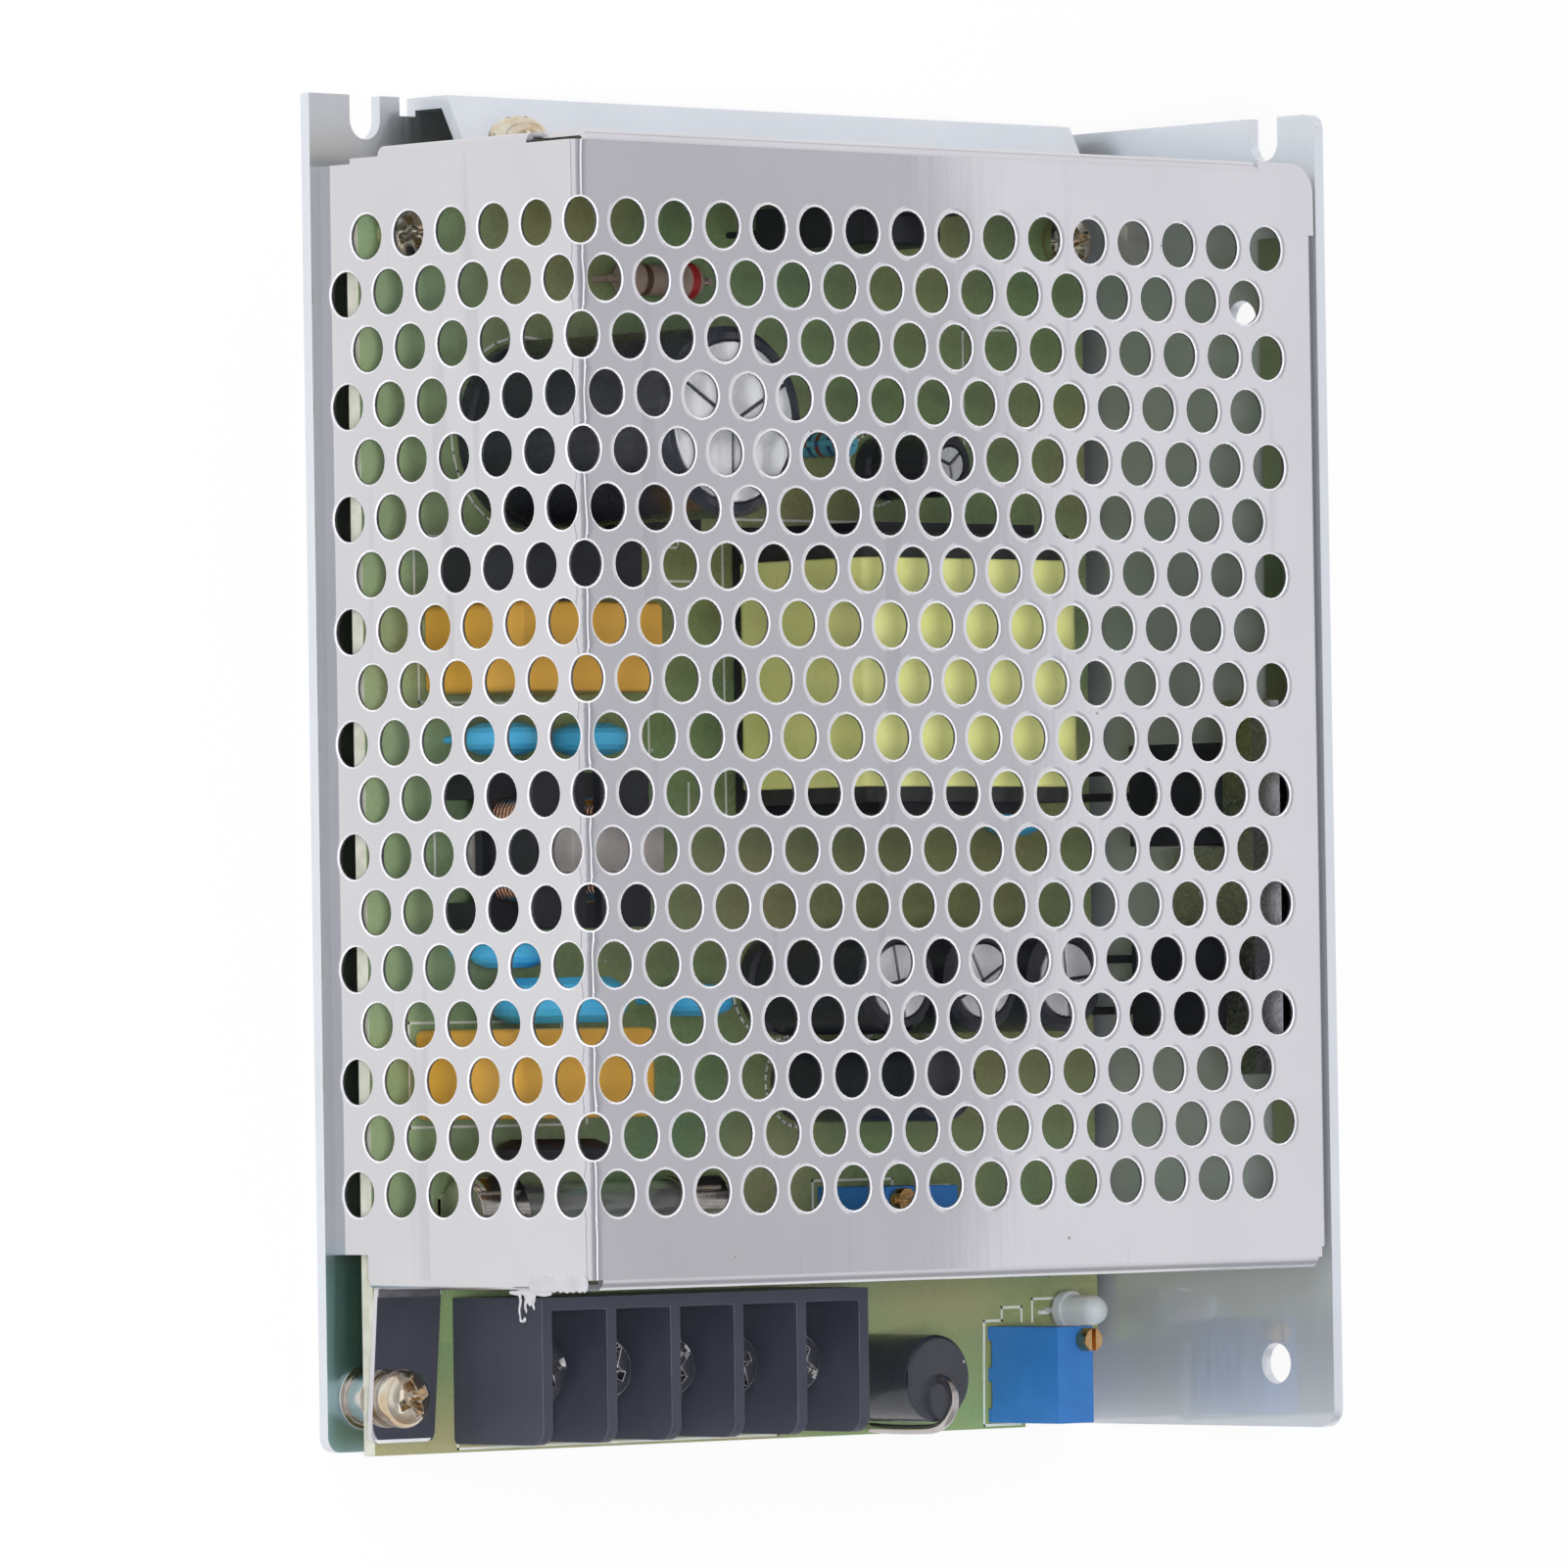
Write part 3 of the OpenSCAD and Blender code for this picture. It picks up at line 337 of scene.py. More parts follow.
def from_hole(tree, at):
    """Distance in mm from the middle of the nearest vent hole, over the cover's top and side."""
    calc = functools.partial(maths, tree)

    def nearest(steps, first, last):
        return calc("MINIMUM", calc("MAXIMUM", calc("ROUND", steps), first), last)

    on_top = calc("GREATER_THAN", at[2], (COVER_TOP - 1.0) * MM)
    over_top = calc("MULTIPLY_ADD", at[0], 1.0 / MM, -COVER_X - TOP_OFF)
    up_side = calc("MULTIPLY_ADD", at[2], 1.0 / MM, -COVER_TOP - SIDE_OFF)
    along = wire(tree, "ShaderNodeMix", {0: on_top, 2: up_side, 3: over_top}).outputs[0]
    rows = calc("MULTIPLY_ADD", at[1], -1.0 / MM / ROW_PITCH, ROW_Y0 / ROW_PITCH)
    row = nearest(rows, 0.0, ROWS - 1.0)
    stagger = calc("MULTIPLY", calc("PINGPONG", row, 1.0), 0.5)
    columns = calc("MULTIPLY_ADD", along, 1.0 / HOLE_PITCH, stagger)
    column = nearest(columns, -HOLES_LEFT_OF_FOLD, HOLES_IN_ROW - HOLES_LEFT_OF_FOLD - 1.0)
    ds = calc("MULTIPLY", calc("SUBTRACT", columns, column), HOLE_PITCH)
    dy = calc("MULTIPLY", calc("SUBTRACT", rows, row), ROW_PITCH)
    return calc("SQRT", calc("MULTIPLY_ADD", ds, ds, calc("MULTIPLY", dy, dy)))


def rolled_sheet(made):
    """Slow bow, dished holes, fine rolling lines and pale scuffs on a bright sheet."""
    tree = made.node_tree
    at = place_xyz(tree)
    from_fold = maths(tree, "ADD", at[0], -COVER_X * MM)
    along = maths(tree, "MULTIPLY_ADD", at[1], BOW_SLOPE, BOW_SHIFT)
    bow = maths(tree, "MULTIPLY", maths(tree, "MULTIPLY", along, along), from_fold)
    bowed = bump(tree, bow, BOW_DEPTH, invert=True)
    dish = span(tree, from_hole(tree, at), HOLE_R, HOLE_R + DISH_W)
    dished = bump(tree, dish, PUNCH_DISH * MM, Normal=bowed)
    lines = noise(tree, 700.0, 4.0, (1.0, 0.12, 1.0))
    drawn = bump(tree, lines, LINE_DEPTH * MM, Normal=dished)
    tree.links.new(drawn, tree.nodes["Principled BSDF"].inputs["Normal"])
    scuffs = noise(tree, 260.0, 2.0, (1.0, 0.05, 1.0))
    return repaint(made, [(span(tree, scuffs, 0.66, 0.72, 0.0, 0.35), (0.55, 0.55, 0.58))])


def laminate(made):
    """Copper blocks under the lacquer, a front edge that is brown by the terminals, greener beyond them, and painted
    light, a paler green, on the board's left side under the cover.
    """
    tree = made.node_tree
    at = place_xyz(tree)
    block = cells(tree, 105.0, "CHEBYCHEV")[1]
    copper = maths(tree, "MULTIPLY", maths(tree, "GREATER_THAN", block, 0.62), 0.22)
    ragged = maths(tree, "ADD", span(tree, noise(tree, 120.0), *NOISE_RANGE, -0.003, 0.003), at[1])
    brown = maths(tree, "MULTIPLY", span(tree, ragged, -0.057, -0.0635), span(tree, at[0], 0.002, 0.014, 0.7, 0.1))
    bare_end = maths(tree, "MULTIPLY", span(tree, ragged, -0.050, -0.063, 0.12, 0.75),
                     span(tree, at[0], 0.002, 0.010))
    # Paler green on the left side under the cover: painted light falling through the holes.
    painted_light_by_side = maths(tree, "MULTIPLY", span(tree, ragged, -0.049, -0.045, 0.0, 0.6), span(tree, at[0], -0.026, -0.040))
    return repaint(made, [(copper, (0.30, 0.40, 0.14)), (brown, (0.39, 0.36, 0.19)),
                          (bare_end, (0.24, 0.385, 0.155)), (painted_light_by_side, (0.30, 0.44, 0.25))])


def shaded_floor(made):
    """The board's shade, blue-green on the strip of floor beside the fixing tab."""
    tree = made.node_tree
    at = place_xyz(tree)
    share = maths(tree, "MULTIPLY", span(tree, at[1], -0.044, -0.047), span(tree, at[0], -0.042, -0.046, 0.0, 0.85))
    return repaint(made, [(share, (0.45, 0.80, 0.90))])


def banded(made, node, bands):
    """Paint coloured rings on a finish, at shares of a node's longest side."""
    tree = made.node_tree
    low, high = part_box(node)
    axis = max(range(3), key=lambda k: high[k] - low[k])
    share = span(tree, place_xyz(tree)[axis], low[axis], high[axis])
    return repaint(made, [(maths(tree, "MULTIPLY", maths(tree, "GREATER_THAN", share, start),
                                 maths(tree, "LESS_THAN", share, end)), paint) for start, end, paint in bands])


# Each finish: darker and lighter colour, patches per metre, range of roughness, grain per metre and its stretch,
# relief in millimetres, share of dust
ALONG_Y = (1.0, 0.03, 1.0)
COVER_STEEL = rolled_sheet(metal("cover_steel", (0.715, 0.71, 0.735), (0.75, 0.745, 0.77), 90.0, (0.02, 0.04),
                                 2600.0, ALONG_Y, dust=0.02))
# Pale, non-metal colour for the burnished rims and rounded edges: a painted highlight where they catch the light.
PAINTED_RIM_HIGHLIGHT = finish("burnished_rim_painted_highlight", (0.63, 0.63, 0.65), (0.84, 0.84, 0.86), 380.0, (0.35, 0.55))
COVER_LIP = metal("cover_lip", (0.72, 0.715, 0.74), (0.76, 0.755, 0.78), 90.0, (0.17, 0.25), 2600.0, ALONG_Y)
# Dark colour for the holes' sheared walls, their flare below and the tab's bend line: painted shade over a duller cut
# edge.
CUT_WALL_PAINTED_SHADE = finish("cut_wall_painted_shade", (0.10, 0.10, 0.11), (0.22, 0.22, 0.24), 700.0, (0.4, 0.6), Metallic=0.6)
CHASSIS_METAL = finish("brushed_aluminium", (0.71, 0.75, 0.80), (0.77, 0.81, 0.86), 60.0, (0.40, 0.52),
                       2400.0, ALONG_Y, 0.004, Metallic=0.68, Coat_Weight=1.0, Coat_Roughness=0.05, Coat_IOR=2.3)
BASE_METAL = shaded_floor(metal("bright_aluminium", (0.72, 0.745, 0.77), (0.79, 0.81, 0.835), 60.0, (0.36, 0.48),
                                2400.0, ALONG_Y, 0.004, Coat_Weight=1.0, Coat_Roughness=0.1, Coat_IOR=2.0))
BOARD_EDGE = finish("sawn_laminate", (0.44, 0.45, 0.36), (0.62, 0.62, 0.54), 500.0, (0.6, 0.8), 2600.0, ALONG_Y, 0.006)
BOARD_MASK = laminate(finish("board_lacquer", (0.165, 0.275, 0.135), (0.30, 0.285, 0.135), 45.0, (0.22, 0.34), 900.0,
                             relief=0.003, dust=0.01, ragged=0.5))
NICKEL = metal("nickel_plate", (0.66, 0.62, 0.56), (0.80, 0.74, 0.70), 900.0, (0.12, 0.24))
PASSIVATED = metal("yellow_passivated", (0.66, 0.47, 0.28), (0.80, 0.82, 0.72), 420.0, (0.10, 0.22))
CHROME = metal("bright_plate", (0.70, 0.69, 0.67), (0.80, 0.79, 0.77), 700.0, (0.08, 0.16))
TINNED = metal("tinned_wire", (0.50, 0.46, 0.44), (0.66, 0.62, 0.60), 250.0, (0.2, 0.28), 900.0)
TERMINAL_EDGE = finish("terminal_edge", (0.075, 0.078, 0.092), (0.14, 0.145, 0.165), 500.0, (0.3, 0.5), 3000.0)
TERMINAL_BLACK = moulded("terminal_moulding", (0.037, 0.041, 0.061), (0.046, 0.050, 0.073), 160.0, (0.44, 0.6),
                         3000.0, dust=0.03)
BLACK_MOULDING = finish("black_moulding", (0.014, 0.015, 0.021), (0.024, 0.026, 0.034), 250.0,
                        (0.38, 0.55), 4000.0, relief=0.006)
TRIMMER_BLUE = moulded("trimmer_blue", (0.024, 0.16, 0.46), (0.034, 0.19, 0.53), 300.0, (0.34, 0.5), 3000.0)
BRASS = metal("trimmer_brass", (0.66, 0.38, 0.14), (0.80, 0.50, 0.24), 900.0, (0.18, 0.3))
MILKY_RESIN = finish("led_resin", (0.76, 0.75, 0.74), (0.84, 0.83, 0.82), 300.0, (0.10, 0.2), 1500.0,
                     Transmission_Weight=0.3, Subsurface_Weight=0.3)
CLEAR_GLUE = finish("clear_glue", (0.60, 0.59, 0.62), (0.72, 0.71, 0.74), 350.0, (0.05, 0.12), 700.0, relief=0.006,
                    Transmission_Weight=0.3)
PRINT_WHITE = finish("board_print", (0.66, 0.68, 0.62), (0.78, 0.80, 0.74), 300.0, (0.4, 0.6))
LID_METAL = finish("can_lid", (0.76, 0.77, 0.79), (0.88, 0.89, 0.91), 400.0, (0.22, 0.36), 900.0, (1.0, 0.08, 1.0),
                   0.006, Metallic=0.55)
BLACK_SLEEVE = moulded("black_sleeve", (0.024, 0.026, 0.036), (0.034, 0.036, 0.048), 200.0, (0.22, 0.34), 900.0)
ROD_SLEEVE = finish("rod_sleeve", (0.030, 0.033, 0.043), (0.040, 0.043, 0.055), 180.0, (0.16, 0.3), 700.0,
                    relief=0.003, dust=0.03)
CORE_GREY = finish("bare_core", (0.30, 0.275, 0.265), (0.44, 0.41, 0.40), 260.0, (0.3, 0.5), 1800.0,
                   (0.06, 1.0, 1.0), 0.004)
FERRITE = finish("ferrite", (0.025, 0.025, 0.027), (0.05, 0.05, 0.052), 500.0, (0.5, 0.7), 4000.0, relief=0.01)
TAPE_YELLOW = moulded("winding_tape", (0.80, 0.84, 0.28), (0.86, 0.88, 0.36), 120.0, (0.25, 0.4), 900.0)
COPPER = metal("copper_wire", (0.80, 0.43, 0.31), (0.92, 0.58, 0.46), 600.0, (0.2, 0.35))
FILM_YELLOW = moulded("film_box_yellow", (0.76, 0.40, 0.05), (0.81, 0.45, 0.07), 200.0, (0.3, 0.42))
DISC_BLUE = finish("disc_coating", (0.07, 0.50, 0.90), (0.10, 0.58, 0.95), 250.0, (0.25, 0.4), 1200.0, relief=0.008)
FUSE_GLASS = finish("fuse_tube", (0.86, 0.88, 0.87), (0.92, 0.93, 0.92), 200.0, (0.03, 0.06), 600.0,
                    Transmission_Weight=0.9)
CLAMP_METAL = metal("clamp_metal", (0.62, 0.63, 0.65), (0.72, 0.73, 0.75), 200.0, (0.2, 0.34), 2200.0)
PAD_WHITE = finish("insulator_pad", (0.62, 0.63, 0.62), (0.72, 0.73, 0.71), 400.0, (0.5, 0.7), relief=0.006)
RESISTOR_COAT = banded(
    finish("resistor_coating", (0.33, 0.24, 0.20), (0.42, 0.31, 0.26), 500.0, (0.3, 0.45), 2000.0, relief=0.006),
    "resistor_1", [(0.72, 0.79, (0.45, 0.03, 0.03)), (0.30, 0.36, (0.10, 0.05, 0.03))])
RESISTOR_BLUE = banded(
    finish("resistor_blue", (0.10, 0.42, 0.58), (0.16, 0.50, 0.66), 500.0, (0.3, 0.45), 2000.0, relief=0.006),
    "resistor_2", [(0.30, 0.37, (0.03, 0.10, 0.22)), (0.44, 0.51, (0.25, 0.05, 0.03)),
                   (0.64, 0.71, (0.03, 0.10, 0.22))])

# Finish, record slot and the nodes that wear it; a number is the rounding of the node's edges, in millimetres
NODE_FINISH = [
    (CHASSIS_METAL, "chassis_sheet", {"chassis": 0.14}),
    (COVER_STEEL, "cover_sheet", {"cover": 0}),
    (BOARD_MASK, "board", {"circuit_board": 0.08}),
    (PASSIVATED, "plated_steel", {"board_screws": 0, "cover_screw": 0.16}),
    (NICKEL, "plated_steel", {"board_standoffs": 0.1, "terminal_plates": 0.1, "fuse_caps": 0.12, "fuse_clips": 0,
                              "clamp_screw": 0}),
    (CHROME, "plated_steel", {f"terminal_washer_{k}": 0.14 for k in range(1, 6)}),
    (CHROME, "plated_steel", {f"terminal_screw_{k}": 0 for k in range(1, 6)}),
    (TERMINAL_BLACK, "terminal_plastic", {"terminal_block": 0.12}),
    (TRIMMER_BLUE, "trimmer_plastic", {"trimmer_body": 0.16, "inner_trimmer_body": 0.16}),
    (BRASS, "trimmer_brass", {"trimmer_screw": 0.08, "inner_trimmer_screw": 0.08}),
    (MILKY_RESIN, "led_resin", {"power_led": 0}),
    (ROD_SLEEVE, "black_sleeve", {"rod_choke": 0.22}),
    (BLACK_SLEEVE, "capacitor_sleeve", {"bulk_capacitor": 0, "output_capacitor_1": 0, "output_capacitor_2": 0,
                                        "output_capacitor_3": 0, "aux_capacitor": 0, "filter_choke": 0.2}),
    (TINNED, "plated_steel", {"choke_lead": 0}),
    (FERRITE, "ferrite", {"transformer_core": 0.2}),
    (CORE_GREY, "ferrite", {"line_choke_core": 0.25}),
    (TAPE_YELLOW, "tape", {"transformer_tape": 0.3}),
    (BLACK_MOULDING, "black_moulding", {"transformer_bobbin": 0.12, "line_choke_bobbins": 0.2, "thermistor": 0,
                                        "bridge_rectifier": 0.25, "regulator": 0.15, "power_transistor": 0.15,
                                        "output_rectifier": 0.15, "controller_chip": 0.08, "optocoupler": 0.08}),
    (COPPER, "copper_wire", {"line_choke_windings": 0}),
    (FILM_YELLOW, "film_box", {"film_capacitor_1": 0.35, "film_capacitor_2": 0.35}),
    (DISC_BLUE, "blue_coating", {"varistor": 0, "safety_capacitors": 0, "snubber_capacitor": 0}),
    (FUSE_GLASS, "fuse_tube", {"fuse_glass": 0}),
    (CLAMP_METAL, "clamp_metal", {"device_clamp": 0.12}),
    (PAD_WHITE, "pad", {"insulator_pads": 0}),
    (RESISTOR_COAT, "resistor_coating", {"resistor_1": 0}),
    (RESISTOR_BLUE, "resistor_coating", {"resistor_2": 0}),
]

# Second finish, on the worn edges or on the faces chosen here
SECOND_FINISH = {"terminal_block": TERMINAL_EDGE, "chassis": BASE_METAL, "circuit_board": BOARD_EDGE}
SECOND_FACES = {"chassis": lambda face: face.normal.z > 0.9 and face.center.z < 1.5 * MM,
                "circuit_board": lambda face: abs(face.normal.x) > 0.7}


def eased_copy(node, radius, coat, second_coat=None):
    """The node's own shape with its sharp edges rounded, and its second finish on edges or chosen faces."""
    bm = bmesh.new()
    bm.from_mesh(frame["nodes"][node].data)
    bmesh.ops.remove_doubles(bm, verts=bm.verts, dist=1e-6)
    bmesh.ops.dissolve_limit(bm, angle_limit=math.radians(1.0), verts=bm.verts, edges=bm.edges)
    sharp = new_object(node + "_sharp", mesh_from(bm, node + "_sharp", 180.0))
    coats = [coat, second_coat] if second_coat else [coat]
    for each in coats:
        sharp.data.materials.append(each)
    rounded(sharp, radius, int(node not in SECOND_FACES) if second_coat else None)
    mesh = evaluated_mesh(sharp, node + "_eased")
    if node in SECOND_FACES:
        for face in mesh.polygons:
            face.material_index = int(SECOND_FACES[node](face))
    dress(node + "_eased", mesh, coats, [node], node if node in frame["bodies"] else CASE)


for coat, slot_name, nodes in NODE_FINISH:
    for node, radius in nodes.items():
        slots = frame["nodes"][node].data.materials
        slots.clear()
        slots.append(coat)
        if radius:
            eased_copy(node, radius, coat, SECOND_FINISH.get(node))


# ---- Node trees

def open_tree(name, geometry_in, inputs, geometry_out):
    """New node tree with named inputs: the tree, their keys and their sockets."""
    tree = bpy.data.node_groups.new(name, "GeometryNodeTree")

    def socket(label, kind, way="INPUT"):
        return tree.interface.new_socket(label, in_out=way, socket_type="NodeSocket" + kind).identifier

    socket(geometry_in, "Geometry")
    keys = {label: socket(label, kind) for kind, labels in inputs.items() for label in labels}
    socket(geometry_out, "Geometry", "OUTPUT")
    return tree, keys, wire(tree, "NodeGroupInput").outputs


def close_tree(tree, geometry, coat):
    """Realise the instances, give them their finish and end the tree."""
    whole = wire(tree, "GeometryNodeRealizeInstances", {0: geometry}).outputs[0]
    coated = wire(tree, "GeometryNodeSetMaterial", {"Geometry": whole, "Material": coat}).outputs[0]
    wire(tree, "NodeGroupOutput", {0: coated})


def counted_off(tree, in_a_row):
    """Row of each point and its place in the row."""
    index = wire(tree, "GeometryNodeInputIndex").outputs[0]
    row = maths(tree, "FLOOR", maths(tree, "DIVIDE", maths(tree, "ADD", index, 0.5), in_a_row))
    return row, maths(tree, "SUBTRACT", index, maths(tree, "MULTIPLY", row, in_a_row))


def spread(tree, shape, count, centre):
    """Copies of a shape at the centres."""
    points = wire(tree, "GeometryNodePoints", {"Count": count, "Position": centre}).outputs[0]
    part = wire(tree, "GeometryNodeObjectInfo", {"Object": shape}).outputs["Geometry"]
    return wire(tree, "GeometryNodeInstanceOnPoints", {"Points": points, "Instance": part}).outputs[0]


def grown(holder, tree, keys, values, name, *spares):
    """The holder's mesh after a node tree has run on it with these inputs."""
    growth = holder.modifiers.new("grow", "NODES")
    growth.node_group = tree
    for label, value in values.items():
        growth[keys[label]] = value
    return evaluated_mesh(holder, name, *spares)


# ---- Perforated cover

def cell_border():
    """Points round one cell, shared with its neighbours."""
    half_s, half_y = HOLE_PITCH / 2, ROW_PITCH / 2
    border = []
    for side in (1.0, -1.0):
        for half_a, half_b, turned in ((half_s, half_y, False), (half_y, half_s, True)):
            points = [(half_a, half_b * k / 3) for k in range(4)] + [(half_a * (1 - k / 3), half_b) for k in (1, 2)]
            border += [(-b * side, a * side) if turned else (a * side, b * side) for a, b in points]
    return border


def cell_part(name, profile, level, upwards, cuts):
    """Rings of (radius, height) from the hole out to the cell's border; each band has its kind of cut."""
    border = cell_border()
    rings = [[(x, y, height) for x, y in circle(radius, len(border))] for radius, height in profile]
    rings.append([(s, y, level) for s, y in border])
    bm = bmesh.new()
    kind = bm.faces.layers.int.new("cut")
    loops = [[bm.verts.new(Vector(point) * MM) for point in ring] for ring in rings]
    for inner, outer, cut in zip(loops, loops[1:], cuts):
        for face in bridge(bm, (outer, inner) if upwards else (inner, outer)):
            face[kind] = cut
    return new_object(name, mesh_from(bm, name))


def punched_face():
    """Upper side of a cell: flat sheet, burnished rim with a painted highlight, and the cut wall with painted shade."""
    return cell_part("punched_face", [(HOLE_R, BREAK_Z), (HOLE_R, RIM_Z), (HOLE_R + RIM_W, 0.0),
                                      (HOLE_R + RING_W, 0.0)], 0.0, True, (WALL, RIM, SHEET, SHEET))


def torn_underside():
    """Lower side of a cell: the flare where the slug broke out, and flat sheet."""
    return cell_part("torn_underside", [(HOLE_R, BREAK_Z), (HOLE_R + FLARE_W, -SHEET_T)], -SHEET_T, False,
                     (WALL, SHEET))


def stops(lo, hi):
    """Both ends and the whole millimetres between them."""
    return sorted({round(value, 5) for value in (lo, hi, *range(math.ceil(lo), math.floor(hi) + 1))})


def plain_margins():
    """The flat sheet around the holes, with its edges; corners at the foot are cut away."""
    front_y, rear_y = COVER_FRONT + FRONT_NOTCH[0], COVER_REAR - REAR_NOTCH[0]
    front_s, rear_s = (notch[1] - COVER_TOP - SIDE_OFF for notch in (FRONT_NOTCH, REAR_NOTCH))
    rows_front = ROW_Y0 - (ROWS - 0.5) * ROW_PITCH
    rows_rear = ROW_Y0 + 0.5 * ROW_PITCH
    patches = [(stops(S_FOOT, S_RIGHT), [Y_FRONT, front_y, rows_front - 1.2, rows_front]),
               (stops(S_FOOT, S_RIGHT), [rows_rear, rows_rear + 2.2, rear_y, Y_REAR])]
    for row in range(ROWS):
        middle = ROW_Y0 - row * ROW_PITCH
        across = [middle + ROW_PITCH * (k / 6 - 0.5) for k in range(7)]
        left = -(HOLES_LEFT_OF_FOLD + 0.5) * HOLE_PITCH - (row % 2) * HOLE_PITCH / 2
        patches += [(stops(S_FOOT, left), across), (stops(left + HOLES_IN_ROW * HOLE_PITCH, S_RIGHT), across)]
    bm = bmesh.new()
    for s_stops, y_stops in patches:
        if s_stops[0] == round(S_FOOT, 5):
            s_stops = sorted(set(s_stops) | {s for s in (round(front_s, 5), round(rear_s, 5)) if s < s_stops[-1]})
        for s0, s1 in zip(s_stops, s_stops[1:]):
            for y0, y1 in zip(y_stops, y_stops[1:]):
                s, y = (s0 + s1) / 2, (y0 + y1) / 2
                if (s < front_s and y < front_y) or (s < rear_s and y > rear_y):
                    continue
                quad = [(s0, y0), (s1, y0), (s1, y1), (s0, y1)]
                for height, order in ((0.0, quad), (-SHEET_T, quad[::-1])):
                    bm.faces.new([bm.verts.new((s * MM, y * MM, height * MM)) for s, y in order])
    bmesh.ops.remove_doubles(bm, verts=bm.verts, dist=1e-6)

    def spot(vert):
        return round(vert.co.x, 6), round(vert.co.y, 6)

    half_down = -SHEET_T * MM / 2
    lower = {spot(vert): vert for vert in bm.verts if vert.co.z < half_down}
    for edge in [edge for edge in bm.edges if edge.is_boundary and edge.verts[0].co.z > half_down]:
        middle = (edge.verts[0].co + edge.verts[1].co) / 2 / MM
        if S_FOOT + 0.01 < middle.x < S_RIGHT - 0.01 and rows_front - 0.01 < middle.y < rows_rear + 0.01:
            continue
        first, second = edge.link_loops[0].vert, edge.link_loops[0].link_loop_next.vert
        bm.faces.new((second, first, lower[spot(first)], lower[spot(second)]))
    return new_object("cover_field", mesh_from(bm, "cover_field"))


def perforation_tree():
    """Node tree: punched cells in staggered rows, welded to the margins and bent over the long fold."""
    tree, keys, given = open_tree("perforated_sheet", "Margins", {
        "Object": ("Punched face", "Torn underside"), "Int": ("Rows", "Holes in a row"),
        "Float": ("Hole pitch", "Row pitch", "First hole s", "First row y", "Fold radius", "Fold unevenness",
                  "Side offset", "Top offset", "Side x", "Top z"), "Material": ("Sheet finish",)}, "Sheet")
    calc = functools.partial(maths, tree)

    row, column = counted_off(tree, given["Holes in a row"])
    stagger = calc("MULTIPLY", calc("MODULO", row, 2.0), 0.5)
    hole_s = calc("MULTIPLY_ADD", calc("SUBTRACT", column, stagger), given["Hole pitch"], given["First hole s"])
    hole_y = calc("SUBTRACT", given["First row y"], calc("MULTIPLY", row, given["Row pitch"]))
    centre = wire(tree, "ShaderNodeCombineXYZ", {0: hole_s, 1: hole_y}).outputs[0]
    count = calc("MULTIPLY", given["Rows"], given["Holes in a row"])
    flat = wire(tree, "ShaderNodeSeparateXYZ", {0: wire(tree, "GeometryNodeInputPosition").outputs[0]}).outputs

    def joined_up(*parts):
        join = wire(tree, "GeometryNodeJoinGeometry")
        for part in parts:
            tree.links.new(part, join.inputs[0])
        return wire(tree, "GeometryNodeMergeByDistance", {"Geometry": join.outputs[0], "Distance": 2e-6}).outputs[0]

    def pressed(label):
        punched = spread(tree, given[label], count, centre)
        return wire(tree, "GeometryNodeRealizeInstances", {0: punched}).outputs[0]

    closed = joined_up(pressed("Punched face"), pressed("Torn underside"), given["Margins"])

    along = wire(tree, "ShaderNodeCombineXYZ", {1: flat[1]}).outputs[0]
    wander = wire(tree, "ShaderNodeTexNoise", {"Vector": along, "Scale": 210.0, "Detail": 2.0}).outputs["Fac"]
    radius = calc("MULTIPLY_ADD", calc("SUBTRACT", wander, 0.5), given["Fold unevenness"], given["Fold radius"])
    fold_end = calc("SUBTRACT", radius, given["Top offset"])
    fold_start = calc("SUBTRACT", calc("MULTIPLY", radius, -1.0), given["Side offset"])
    by_fold = calc("MULTIPLY", calc("GREATER_THAN", flat[0], calc("SUBTRACT", fold_start, 1.2 * MM)),
                   calc("LESS_THAN", flat[0], calc("ADD", fold_end, 1.2 * MM)))
    split = wire(tree, "GeometryNodeSeparateGeometry", {"Geometry": closed, "Selection": by_fold},
                 domain="FACE").outputs
    finer = wire(tree, "GeometryNodeSubdivideMesh", {"Mesh": split[0], "Level": 1}).outputs[0]
    ready = joined_up(finer, split[1])

    angle = span(tree, flat[0], fold_start, fold_end, 0.0, math.pi / 2)
    reach = calc("ADD", radius, flat[2])
    past_end = calc("MAXIMUM", calc("SUBTRACT", flat[0], fold_end), 0.0)
    past_start = calc("MINIMUM", calc("SUBTRACT", flat[0], fold_start), 0.0)
    out_x = calc("SUBTRACT", calc("ADD", calc("ADD", given["Side x"], radius), past_end),
                 calc("MULTIPLY", reach, calc("COSINE", angle)))
    out_z = calc("ADD", calc("ADD", calc("SUBTRACT", given["Top z"], radius), past_start),
                 calc("MULTIPLY", reach, calc("SINE", angle)))
    bent = wire(tree, "ShaderNodeCombineXYZ", {0: out_x, 1: flat[1], 2: out_z}).outputs[0]
    folded = wire(tree, "GeometryNodeSetPosition", {"Geometry": ready, "Position": bent}).outputs[0]
    close_tree(tree, folded, given["Sheet finish"])
    return tree, keys


def perforated_field():
    """Top, fold and side of the cover as one punched sheet."""
    face, underside = punched_face(), torn_underside()
    sizes = {"Hole pitch": HOLE_PITCH, "Row pitch": ROW_PITCH, "First hole s": -HOLES_LEFT_OF_FOLD * HOLE_PITCH,
             "First row y": ROW_Y0, "Fold radius": COVER_BEND, "Fold unevenness": FOLD_WANDER,
             "Side offset": SIDE_OFF, "Top offset": TOP_OFF, "Side x": COVER_X, "Top z": COVER_TOP}
    values = {"Punched face": face, "Torn underside": underside, "Rows": ROWS, "Holes in a row": HOLES_IN_ROW,
              "Sheet finish": COVER_STEEL, **{label: size * MM for label, size in sizes.items()}}
    return grown(plain_margins(), *perforation_tree(), values, "cover_sheet", face, underside)


